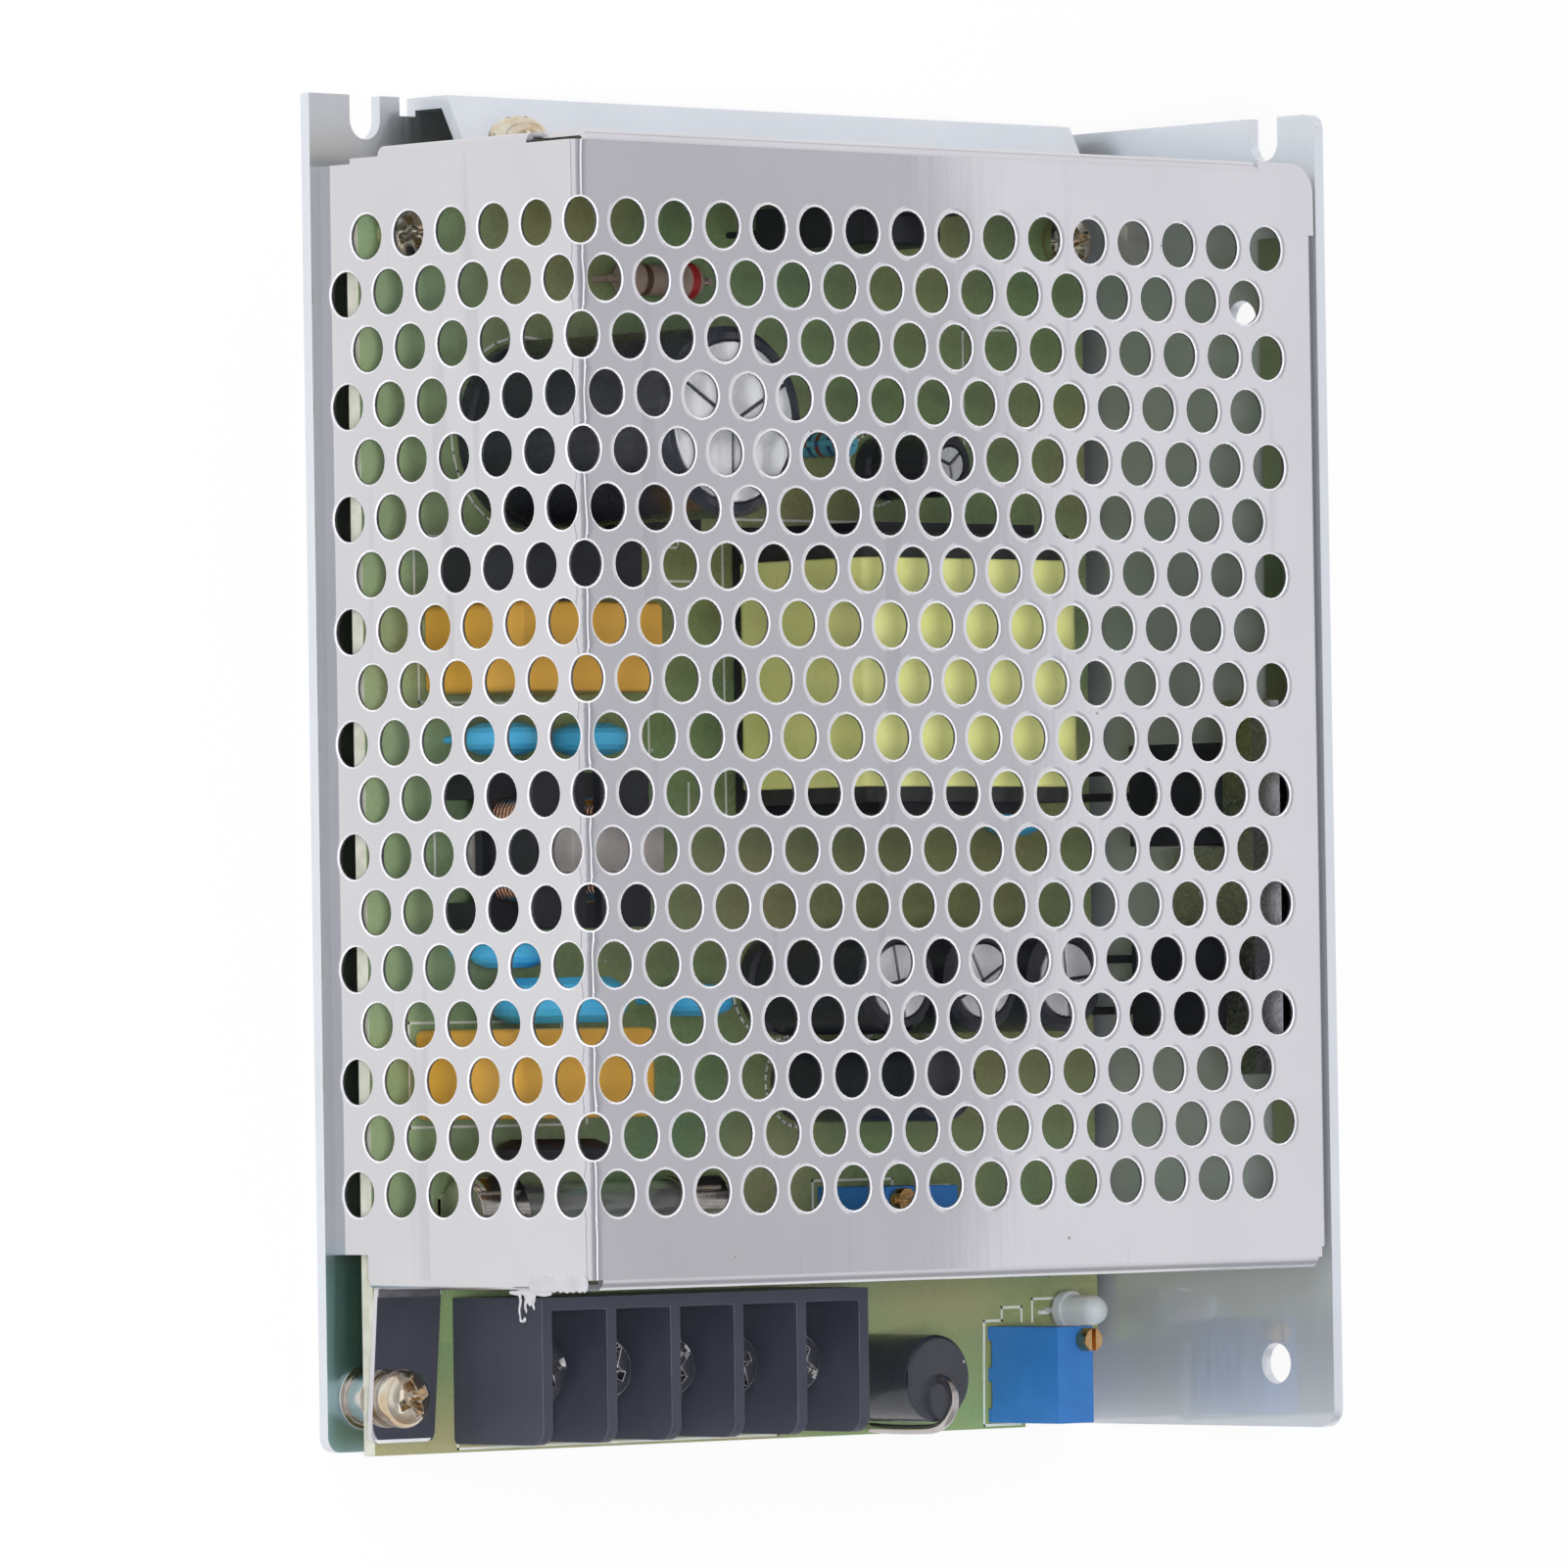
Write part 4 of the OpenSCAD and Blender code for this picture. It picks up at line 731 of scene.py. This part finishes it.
def lip_section(bend, length):
    """Section of a bent edge: from the plate's edge at (0, 0) round the bend and down to its eased end."""
    end, inside, corner = -length, bend - SHEET_T, LIP_EASE * 0.3
    return arc_points(0.0, -bend, bend, 90.0, 0.0, 8) + [
        (bend, end + LIP_EASE), (bend - corner, end + corner), (bend - LIP_EASE, end),
        (inside + LIP_EASE, end), (inside + corner, end + corner), (inside, end + LIP_EASE),
    ] + arc_points(0.0, -bend, inside, 0.0, 90.0, 8)


def cover_edges():
    """Bent-down edges, cheeks, fixing tab and the flat rear corner of the cover."""
    bm = bmesh.new()
    kind = bm.faces.layers.int.new("cut")
    brow_x0, brow_x1 = COVER_X + 1.5, COVER_RX - 7.5
    plate_rx, seam_y1, cheek_top = COVER_RX - FLANGE_BEND, COVER_REAR - 7.0, COVER_TOP - 6.7
    # Front brow, rear brow, right edge, rear cheek, front cheek: length of the lip, its place and its two ends
    for length, place, start, end in (
            (5.0, lambda u, v, a: (a, Y_FRONT - u, COVER_TOP + v), brow_x0, plate_rx - 0.5),
            (6.0, lambda u, v, a: (a, Y_REAR + u, COVER_TOP + v), brow_x0, brow_x1),
            (7.0, lambda u, v, a: (plate_rx + u, a, COVER_TOP + v), Y_FRONT + 1.0, seam_y1),
            (22.0, lambda u, v, a: (COVER_X - v, Y_REAR + u, a), 9.5, cheek_top),
            (9.4, lambda u, v, a: (COVER_X - v, Y_FRONT - u, a), BOARD_TOP + 0.5, cheek_top)):
        for face in sweep_section(bm, lip_section(FLANGE_BEND, length), place, start, end):
            face[kind] = LIP
    corner = [(brow_x1, Y_REAR), (plate_rx, Y_REAR), (plate_rx, seam_y1), (COVER_RX, seam_y1),
              *arc_points(COVER_RX - 3.0, COVER_REAR - 3.0, 3.0, 0.0, 90.0, 8), (brow_x1, COVER_REAR)]
    # Tab, a strip of painted shade along the bend at its root and a painted highlight on its front edge, measured from
    # the cover's side and front
    reach = -TAB_LENGTH
    tab = [(1.0, SHEET_T), (-0.07, reach + 0.8), (0.12, reach + 0.25), (0.7, reach), (7.0, reach),
           (7.6, reach + 0.25), (7.84, reach + 0.8), (9.0, SHEET_T)]
    root = [(1.1, 0.0), (1.05, -0.75), (8.8, -0.75), (8.85, 0.0)]
    painted_highlight_edge = [(0.7, reach + 0.02), (7.0, reach + 0.02), (7.4, reach + 0.34), (0.3, reach + 0.34)]
    tab, root, painted_highlight_edge = ([(COVER_X + x, COVER_FRONT + y) for x, y in outline] for outline in (tab, root, painted_highlight_edge))
    tab_top = BOARD_TOP + SHEET_T
    # The root strip wears the dark wall finish as painted shade; the front-edge strip wears the pale rim finish as a
    # painted highlight.
    for outline, low, high, cut in ((corner, COVER_TOP - SHEET_T, COVER_TOP, SHEET), (tab, BOARD_TOP, tab_top, SHEET),
                                    (root, tab_top - 0.1, tab_top + 0.02, WALL),
                                    (painted_highlight_edge, tab_top - 0.1, tab_top + 0.015, RIM)):
        for face in sweep_section(bm, outline, lambda u, v, a: (u, v, a), low, high):
            face[kind] = cut
    return mesh_from(bm, "cover_edges", 35.0)


def folded_cover():
    """The whole cover, with its finishes by kind of face."""
    bm = bmesh.new()
    bm.from_mesh(perforated_field())
    outward(bm, bm.faces)
    bm.from_mesh(cover_edges())
    mesh = mesh_from(bm, "perforated_cover", 44.5)
    cuts = [0] * len(mesh.polygons)
    mesh.attributes["cut"].data.foreach_get("value", cuts)
    mesh.attributes.remove(mesh.attributes["cut"])
    mesh.polygons.foreach_set("material_index", cuts)
    dress("perforated_cover", mesh, [COVER_STEEL, PAINTED_RIM_HIGHLIGHT, CUT_WALL_PAINTED_SHADE, COVER_LIP], ["cover"])


# ---- Small pieces

def printed_path(bm, points):
    """Thin raised line along a path of (x, y) points."""
    for start, end in zip(points, points[1:]):
        first, second = Vector((*start, 0.0)), Vector((*end, 0.0))
        along = (second - first).normalized() * PRINT_W / 2
        across = Vector((-along.y, along.x, 0.0))
        ring = [first - along - across, second + along - across, second + along + across, first - along + across]
        bridge(bm, [[bm.verts.new((corner + Vector((0, 0, z))) * MM) for corner in ring]
                    for z in (BOARD_TOP, BOARD_TOP + PRINT_H)], True)


def around(node, gap):
    """Closed (x, y) path around a node."""
    low, high = box_mm(node)
    x0, y0, x1, y1 = low.x - gap, low.y - gap, high.x + gap, high.y + gap
    return [(x0, y0), (x1, y0), (x1, y1), (x0, y1), (x0, y0)]


def ring_path(node, gap):
    """Closed round (x, y) path around a node."""
    low, high = box_mm(node)
    middle = (low + high) / 2
    path = [(middle.x + x, middle.y + y) for x, y in circle((high.x - low.x) / 2 + gap, 32)]
    return path + path[:1]


def board_print():
    """White component outlines printed on the board."""
    paths = [[(-37.56, -63.4), (-37.56, -64.15), (3.9, -64.15), (3.9, -63.0)],
             [(36.7, -64.15), (31.69, -64.15), (31.85, -53.87), (34.30, -53.87), (34.30, -52.6), (37.0, -52.6),
              (37.0, -54.0)],
             [(38.49, -54.1), (38.49, -51.85), (41.5, -51.85)]]
    for node, gap in (("film_capacitor_1", 0.7), ("film_capacitor_2", 0.7), ("line_choke_bobbins", 0.8),
                      ("transformer_bobbin", 0.9), ("inner_trimmer_body", 0.6), ("controller_chip", 0.5),
                      ("optocoupler", 0.5), ("bridge_rectifier", 0.7)):
        paths.append(around(node, gap))
    for node in ("bulk_capacitor", "output_capacitor_1", "output_capacitor_2", "output_capacitor_3",
                 "aux_capacitor", "filter_choke"):
        paths.append(ring_path(node, 0.45))
    paths += [[(-11.7, 6.5), (-11.7, 0.5)], [(-6.6, -0.9), (-6.6, -4.6)], [(-18.0, 26.0), (-18.0, 40.0)],
              [(-9.0, 18.6), (-3.4, 18.6)], [(31.0, 26.0), (31.0, 44.0), (38.0, 44.0)],
              [(-20.5, -33.5), (-20.5, -26.5)], [(-5.5, -46.2), (3.5, -46.2)]]
    bm = bmesh.new()
    for path in paths:
        printed_path(bm, path)
    dress("board_print", mesh_from(bm, "board_print"), [PRINT_WHITE])


def lid_sector(bm, middle, radius, start, end, gap, low, high):
    """One leaf of a scored can lid, between two score lines."""
    half = (end - start) / 2
    tip = Vector((math.cos(start + half), math.sin(start + half), 0.0)) * gap / math.sin(half)
    inset = math.asin(gap / radius)
    rim = [Vector((math.cos(a), math.sin(a), 0.0)) * radius
           for a in (start + inset + (end - start - 2 * inset) * k / 12 for k in range(13))]
    outline = [tip] + rim
    centre = sum(outline, Vector()) / len(outline)
    layers = [(1.0, low), (1.0, high - 0.07), (0.965, high)]
    bridge(bm, [[bm.verts.new((middle + centre + (point - centre) * grow + Vector((0, 0, z))) * MM)
                 for point in outline] for grow, z in layers], True)


def can_lids():
    """Bright scored lids inside the rolled ends of the sleeves."""
    bm = bmesh.new()
    for node, turn, leaves in (("bulk_capacitor", 0.5, 3), ("output_capacitor_1", 0.2, 4),
                               ("output_capacitor_2", 0.5, 4), ("output_capacitor_3", 0.1, 4),
                               ("aux_capacitor", 0.7, 3)):
        low, high = box_mm(node)
        middle = Vector(((low.x + high.x) / 2, (low.y + high.y) / 2, 0.0))
        radius = (high.x - low.x) / 2 - LID_RIM
        step = math.tau / leaves
        for leaf in range(leaves):
            lid_sector(bm, middle, radius, turn + step * leaf, turn + step * (leaf + 1), 0.14 + 0.008 * radius,
                       high.z - LID_LOW, high.z - LID_HIGH)
    dress("can_lids", mesh_from(bm, "can_lids", 25.0), [LID_METAL])


def wire_turn(half_x, half_y, corner):
    """One closed turn of winding wire around an upright leg."""
    path = []
    for cx, cy, start in ((1, 1, 0), (-1, 1, 90), (-1, -1, 180), (1, -1, 270)):
        path += arc_points(cx * (half_x - corner), cy * (half_y - corner), corner, start, start + 90, 4)
    bm = bmesh.new()
    rings = []
    for k, (x, y) in enumerate(path):
        before, after = path[k - 1], path[(k + 1) % len(path)]
        run = Vector((after[0] - before[0], after[1] - before[1], 0.0)).normalized()
        side = Vector((run.y, -run.x, 0.0))
        rings.append([bm.verts.new((Vector((x, y, 0.0)) + side * out + Vector((0, 0, up))) * MM)
                      for out, up in circle(WIRE_R, 6)])
    bridge(bm, rings + rings[:1])
    outward(bm, bm.faces)
    return new_object("wire_turn", mesh_from(bm, "wire_turn"))


def winding_tree():
    """Node tree: turns of wire stacked on two legs."""
    tree, keys, given = open_tree("stacked_turns", "Geometry", {
        "Object": ("Turn",), "Int": ("Turns",), "Material": ("Wire finish",),
        "Float": ("Wire pitch", "First leg x", "Leg spacing", "Legs y", "First turn z")}, "Winding")
    leg, level = counted_off(tree, given["Turns"])
    centre = wire(tree, "ShaderNodeCombineXYZ", {
        0: maths(tree, "MULTIPLY_ADD", leg, given["Leg spacing"], given["First leg x"]), 1: given["Legs y"],
        2: maths(tree, "MULTIPLY_ADD", level, given["Wire pitch"], given["First turn z"])}).outputs[0]
    stacked = spread(tree, given["Turn"], maths(tree, "MULTIPLY", given["Turns"], 2.0), centre)
    close_tree(tree, stacked, given["Wire finish"])
    return tree, keys


def choke_windings():
    """Enamelled turns on both legs of the line choke."""
    low, high = box_mm("line_choke_windings")
    leg_w = (high.x - low.x) / 2
    turn = wire_turn(leg_w / 2 - 1.3, (high.y - low.y) / 2 - 1.6, 1.6)
    sizes = {"Wire pitch": WIRE_PITCH, "First leg x": low.x + leg_w / 2 - 0.2, "Leg spacing": leg_w + 0.4,
             "Legs y": (low.y + high.y) / 2, "First turn z": low.z + WIRE_R}
    values = {"Turn": turn, "Turns": int((high.z - low.z - 2 * WIRE_R) / WIRE_PITCH) + 1, "Wire finish": COPPER,
              **{label: size * MM for label, size in sizes.items()}}
    holder = new_object("choke_windings", bpy.data.meshes.new("choke_windings"))
    mesh = grown(holder, *winding_tree(), values, "choke_windings", turn)
    smooth_mesh(mesh, 60.0)
    dress("choke_windings", mesh, [COPPER], ["line_choke_windings"])


def runny_blob(name, beads):
    """Beads (x, y, z, half-sizes) fused into one runny shape."""
    bm = bmesh.new()
    for x, y, z, rx, ry, rz in beads:
        place = Matrix.Translation(Vector((x, y, z)) * MM) @ Matrix.Diagonal(Vector((rx, ry, rz, 1.0 / MM)) * MM)
        bmesh.ops.create_icosphere(bm, subdivisions=2, radius=1.0, matrix=place)
    beaded = new_object(name + "_beads", mesh_from(bm, name + "_beads"))
    fuse = beaded.modifiers.new("fuse", "REMESH")
    fuse.mode = "VOXEL"
    fuse.voxel_size = GLUE_GRAIN * MM
    beaded.modifiers.new("relax", "SMOOTH").iterations = 5
    mesh = evaluated_mesh(beaded, name)
    smooth_mesh(mesh, 180.0)
    return mesh


def glue():
    """Dried glue over the cover's front corner, with short strings pulled out of it."""
    film = [(-48.8, -48.1 + 0.03 * math.sin(0.7 * k), 29.0 + 0.3 * k, 0.1, 0.86 + 0.1 * math.sin(2.1 * k), 0.6)
            for k in range(25)]
    strings = [(-48.62, -48.95 - 0.05 * math.sin(0.8 * k), 25.9 + 0.25 * k, 0.2, 0.2 + 0.02 * min(k, 9), 0.4)
               for k in range(22)]
    for z, length, width in ((27.0, 2.2, 0.16), (27.8, 1.5, 0.18), (28.9, 1.2, 0.22), (28.3, 0.8, 0.42)):
        strings += [(-48.6, -49.2 - length * k / 9, z + 0.1 * math.sin(0.8 * k), 0.17 - 0.006 * k, 0.3,
                     width * (1.0 - 0.05 * k)) for k in range(10)]
    strings += [(-48.6, -51.45 - 0.2 * math.sin(t), 27.35 + 0.34 * math.cos(t), 0.15, 0.15, 0.15)
                for t in (-0.6, -0.2, 0.2, 0.6, 1.0, 1.4, 1.8, 2.2, 2.6, 3.0)]
    bm = bmesh.new()
    for name, beads in (("glue_film", film), ("glue_strings", strings)):
        bm.from_mesh(runny_blob(name, beads))
    dress("glue", mesh_from(bm, "glue", 180.0), [CLEAR_GLUE])


def eased_path(knots, steps=6):
    """Smooth path through the knots."""
    path = []
    last = len(knots) - 1
    for k in range(last):
        before, first, second, after = knots[max(k - 1, 0)], knots[k], knots[k + 1], knots[min(k + 2, last)]
        for t in (step / steps for step in range(steps)):
            path.append(0.5 * (2 * first + (second - before) * t
                               + (2 * before - 5 * first + 4 * second - after) * t ** 2
                               + (3 * first - before - 3 * second + after) * t ** 3))
    return path + [knots[last]]


def rod_lead():
    """Thick lead that leaves the rod choke's top and bends over its front to the board."""
    path = eased_path([Vector(knot) for knot in (
        (16.0, -58.95, 15.2), (16.05, -59.2, 16.5), (16.1, -60.2, 17.45), (16.1, -61.6, 17.5), (16.05, -63.0, 16.6),
        (16.0, -63.78, 15.0), (16.0, -63.95, 12.0), (16.0, -63.95, 8.5), (16.0, -63.825, 5.6))])
    bm = bmesh.new()
    rings = []
    for k, point in enumerate(path):
        run = (path[min(k + 1, len(path) - 1)] - path[max(k - 1, 0)]).normalized()
        side = run.cross(Vector((1, 0, 0))).normalized()
        other = run.cross(side)
        rings.append([bm.verts.new((point + side * x + other * y) * MM) for x, y in circle(LEAD_R, 12)])
    bridge(bm, rings, True)
    outward(bm, bm.faces)
    dress("rod_lead", mesh_from(bm, "rod_lead", 50.0), [TINNED], ["choke_lead"])


def led_lead():
    """Cropped lead of the LED lying on the board, painted pale all over as its highlight."""
    bm = bmesh.new()
    loop = arc_points(0.0, 0.0, 0.2, 0.0, 330.0, 11)
    sweep_section(bm, loop, lambda u, v, a: (a, -53.22 + u, BOARD_TOP + 0.2 + v), 39.3, 40.5)
    dress("led_lead", mesh_from(bm, "led_lead", 50.0), [PAINTED_RIM_HIGHLIGHT])


def recessed_head(name, profile, middle, top, arms, half_width, depth, taper, turn, painted_highlight_edge):
    """Screw turned from a (radius, height) profile, with a cross recess that narrows downwards and rounded edges
    painted pale as highlights.
    """
    bm = bmesh.new()
    bridge(bm, [[bm.verts.new(Vector((middle.x + x, middle.y + y, z)) * MM)
                 for x, y in circle(radius, 48 if radius else 1)] for radius, z in profile])
    outward(bm, bm.faces)
    screw = new_object(name, mesh_from(bm, name))
    bm = bmesh.new()
    loops = []
    for grow, z in ((1.0, top + 0.3), (taper, top - depth)):
        u, v, w = arms[0] * grow, arms[1] * grow, half_width * (1.0 + grow) / 2
        outline = [(u, -w), (u, w), (w, w), (w, v), (-w, v), (-w, w), (-u, w), (-u, -w), (-w, -w), (-w, -v), (w, -v),
                   (w, -w)]
        spin = Matrix.Rotation(turn, 2)
        loops.append([bm.verts.new(Vector((*(middle.xy + spin @ Vector(point)), z)) * MM) for point in outline])
    bridge(bm, loops, True)
    outward(bm, bm.faces)
    cutter = new_object(name + "_recess", mesh_from(bm, name + "_recess"))
    carve = screw.modifiers.new("carve", "BOOLEAN")
    carve.object = cutter
    carve.solver = "EXACT"
    for coat in (CHROME, PAINTED_RIM_HIGHLIGHT):
        screw.data.materials.append(coat)
    # The rounded edges take the pale rim finish: painted highlights.
    rounded(screw, painted_highlight_edge, 1)
    return evaluated_mesh(screw, name, cutter)


def terminal_screws():
    """Bright screws of the terminals, slotted across and with a cross recess."""
    for k, turn in enumerate((0.35, 1.15, 0.75, 2.0, 2.6), 1):
        node = f"terminal_screw_{k}"
        low, high = box_mm(node)
        seat, shank, head = high.z - 2.0, 1.5, 2.8
        profile = [(0, low.z), (shank, low.z), (shank, seat), (head, seat), (head, seat + 1.5), (2.62, seat + 1.78),
                   (1.6, seat + 1.96), (0, high.z)]
        mesh = recessed_head(node + "_turned", profile, (low + high) / 2, high.z, arms=(3.1, 1.9), half_width=0.5,
                             depth=1.0, taper=0.72, turn=turn, painted_highlight_edge=0.13)
        dress(node + "_turned", mesh, [CHROME, PAINTED_RIM_HIGHLIGHT], [node], node)


def board_screws():
    """Pan-head screws on their spring washers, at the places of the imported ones."""
    places = {}
    for vert in frame["nodes"]["board_screws"].data.vertices:
        places.setdefault((vert.co.x > 0, vert.co.y > 0), []).append(vert.co / MM)
    washer = [(2.42, 0.0), (2.5, 0.08), (2.5, 0.6), (2.42, 0.68), (2.25, 0.7), (2.25, 0.8), (2.72, 0.82), (2.8, 0.92)]
    dome = [(2.8, 1.25), (2.76, 1.6), (2.6, 1.98), (2.3, 2.32), (1.8, 2.6), (1.2, 2.78), (0.6, 2.87), (0, 2.9)]
    bm = bmesh.new()
    for points in places.values():
        low, high = (Vector([pick(axis) for axis in zip(*points)]) for pick in (min, max))
        seat, shank = high.z - dome[-1][1], 1.45
        profile = [(0, low.z), (shank, low.z), (shank, seat)]
        profile += [(radius, seat + rise) for radius, rise in washer + dome]
        bm.from_mesh(recessed_head("board_screw", profile, (low + high) / 2, high.z, arms=(2.2, 2.2), half_width=0.56,
                                   depth=1.6, taper=0.5, turn=0.45, painted_highlight_edge=0.07))
    dress("board_screws_turned", mesh_from(bm, "board_screws_turned"), [PASSIVATED, PAINTED_RIM_HIGHLIGHT],
          ["board_screws"])


for make in (folded_cover, board_print, can_lids, choke_windings, glue, rod_lead, led_lead, terminal_screws,
             board_screws):
    make()


# ---- Camera, floor and light

VIEW_AXES = ((0.7316549, -0.0151376, 0.6815071), (-0.0021336, 0.9996977, 0.0244958),
             (-0.6816718, -0.0193766, 0.7314014))
EYE = Vector((-841.210, -25.036, 914.543)) * MM
FOCAL_PX = 13043.29
PHOTO_PX = 1601
# Height, as a sine, where the reflected walls meet the darker ceiling
CEILING = (0.7155, 0.7185)

scene = bpy.context.scene
scene.view_settings.view_transform = "Standard"

eye = bpy.data.cameras.new("photo_view")
eye.sensor_width = 36.0
eye.lens = FOCAL_PX / PHOTO_PX * eye.sensor_width
eye.clip_start = 0.01
viewer = new_object("photo_view", eye)
viewer.matrix_world = Matrix.Translation(EYE) @ Matrix(VIEW_AXES).transposed().to_4x4()
scene.camera = viewer

bm = bmesh.new()
bmesh.ops.create_grid(bm, x_segments=1, y_segments=1, size=4.0)
floor = new_object("floor", mesh_from(bm, "floor"))
paper = bpy.data.materials.new("white_paper")
paper.use_nodes = True
tree = paper.node_tree
matte = tree.nodes["Principled BSDF"]
matte.inputs["Base Color"].default_value = rgba((0.9, 0.9, 0.9))
matte.inputs["Roughness"].default_value = 0.9
rays = wire(tree, "ShaderNodeLightPath").outputs
glow = wire(tree, "ShaderNodeEmission", {"Color": rgba((1, 1, 1)),
                                         "Strength": span(tree, rays["Is Glossy Ray"], 0.0, 1.0, 1.0, 0.88)})
seen = maths(tree, "MAXIMUM", maths(tree, "MAXIMUM", rays["Is Camera Ray"], rays["Is Glossy Ray"]),
             rays["Is Transmission Ray"])
mixed = wire(tree, "ShaderNodeMixShader", {0: maths(tree, "MULTIPLY", seen, 0.85), 1: matte.outputs[0],
                                           2: glow.outputs[0]})
tree.links.new(mixed.outputs[0], tree.nodes["Material Output"].inputs["Surface"])
floor.data.materials.append(paper)

world = bpy.data.worlds.new("studio")
world.use_nodes = True
sky = world.node_tree
towards = wire(sky, "ShaderNodeSeparateXYZ", {0: wire(sky, "ShaderNodeTexCoord").outputs["Generated"]}).outputs
height = towards[2]
overhead = tint(sky, span(sky, height, 0.76, 0.96), rgba((0.60, 0.60, 0.63)), rgba((0.40, 0.40, 0.43)))
walls = tint(sky, span(sky, towards[1], -0.55, -0.25, 1.0, 0.0), rgba((0.87, 0.87, 0.90)), rgba((0.42, 0.42, 0.45)))
skirting = maths(sky, "MULTIPLY", span(sky, height, 0.02, 0.05), span(sky, height, 0.11, 0.15, 1.0, 0.0))
walls = tint(sky, skirting, walls, rgba((0.38, 0.38, 0.41)))
sky.links.new(tint(sky, span(sky, height, *CEILING), walls, overhead), sky.nodes["Background"].inputs["Color"])
scene.world = world


def soft_panel(name, place, aim, width, height, radiance):
    """Area lamp of a given brightness per area."""
    lamp = bpy.data.lights.new(name, "AREA")
    lamp.shape = "RECTANGLE"
    lamp.size, lamp.size_y = width, height
    lamp.energy = radiance * math.pi * width * height
    holder = new_object(name, lamp)
    holder.location = place
    holder.rotation_euler = (Vector(place) - Vector(aim)).to_track_quat("Z", "Y").to_euler()
    holder.visible_camera = False
    return holder


key = soft_panel("key_panel", (-0.824, -0.06, 1.094), (0, 0, 0), 0.25, 0.25, 56.0)
front = soft_panel("front_panel", (-1.10, -0.10, 0.98), (0, 0, 0.02), 2.8, 1.0, 0.5)
key.visible_glossy = front.visible_glossy = False
strip = soft_panel("top_strip", (0.05, 0.0, 1.6), (0.05, 0.0, 0.0), 0.35, 2.4, 0.9)
strip.visible_diffuse = False
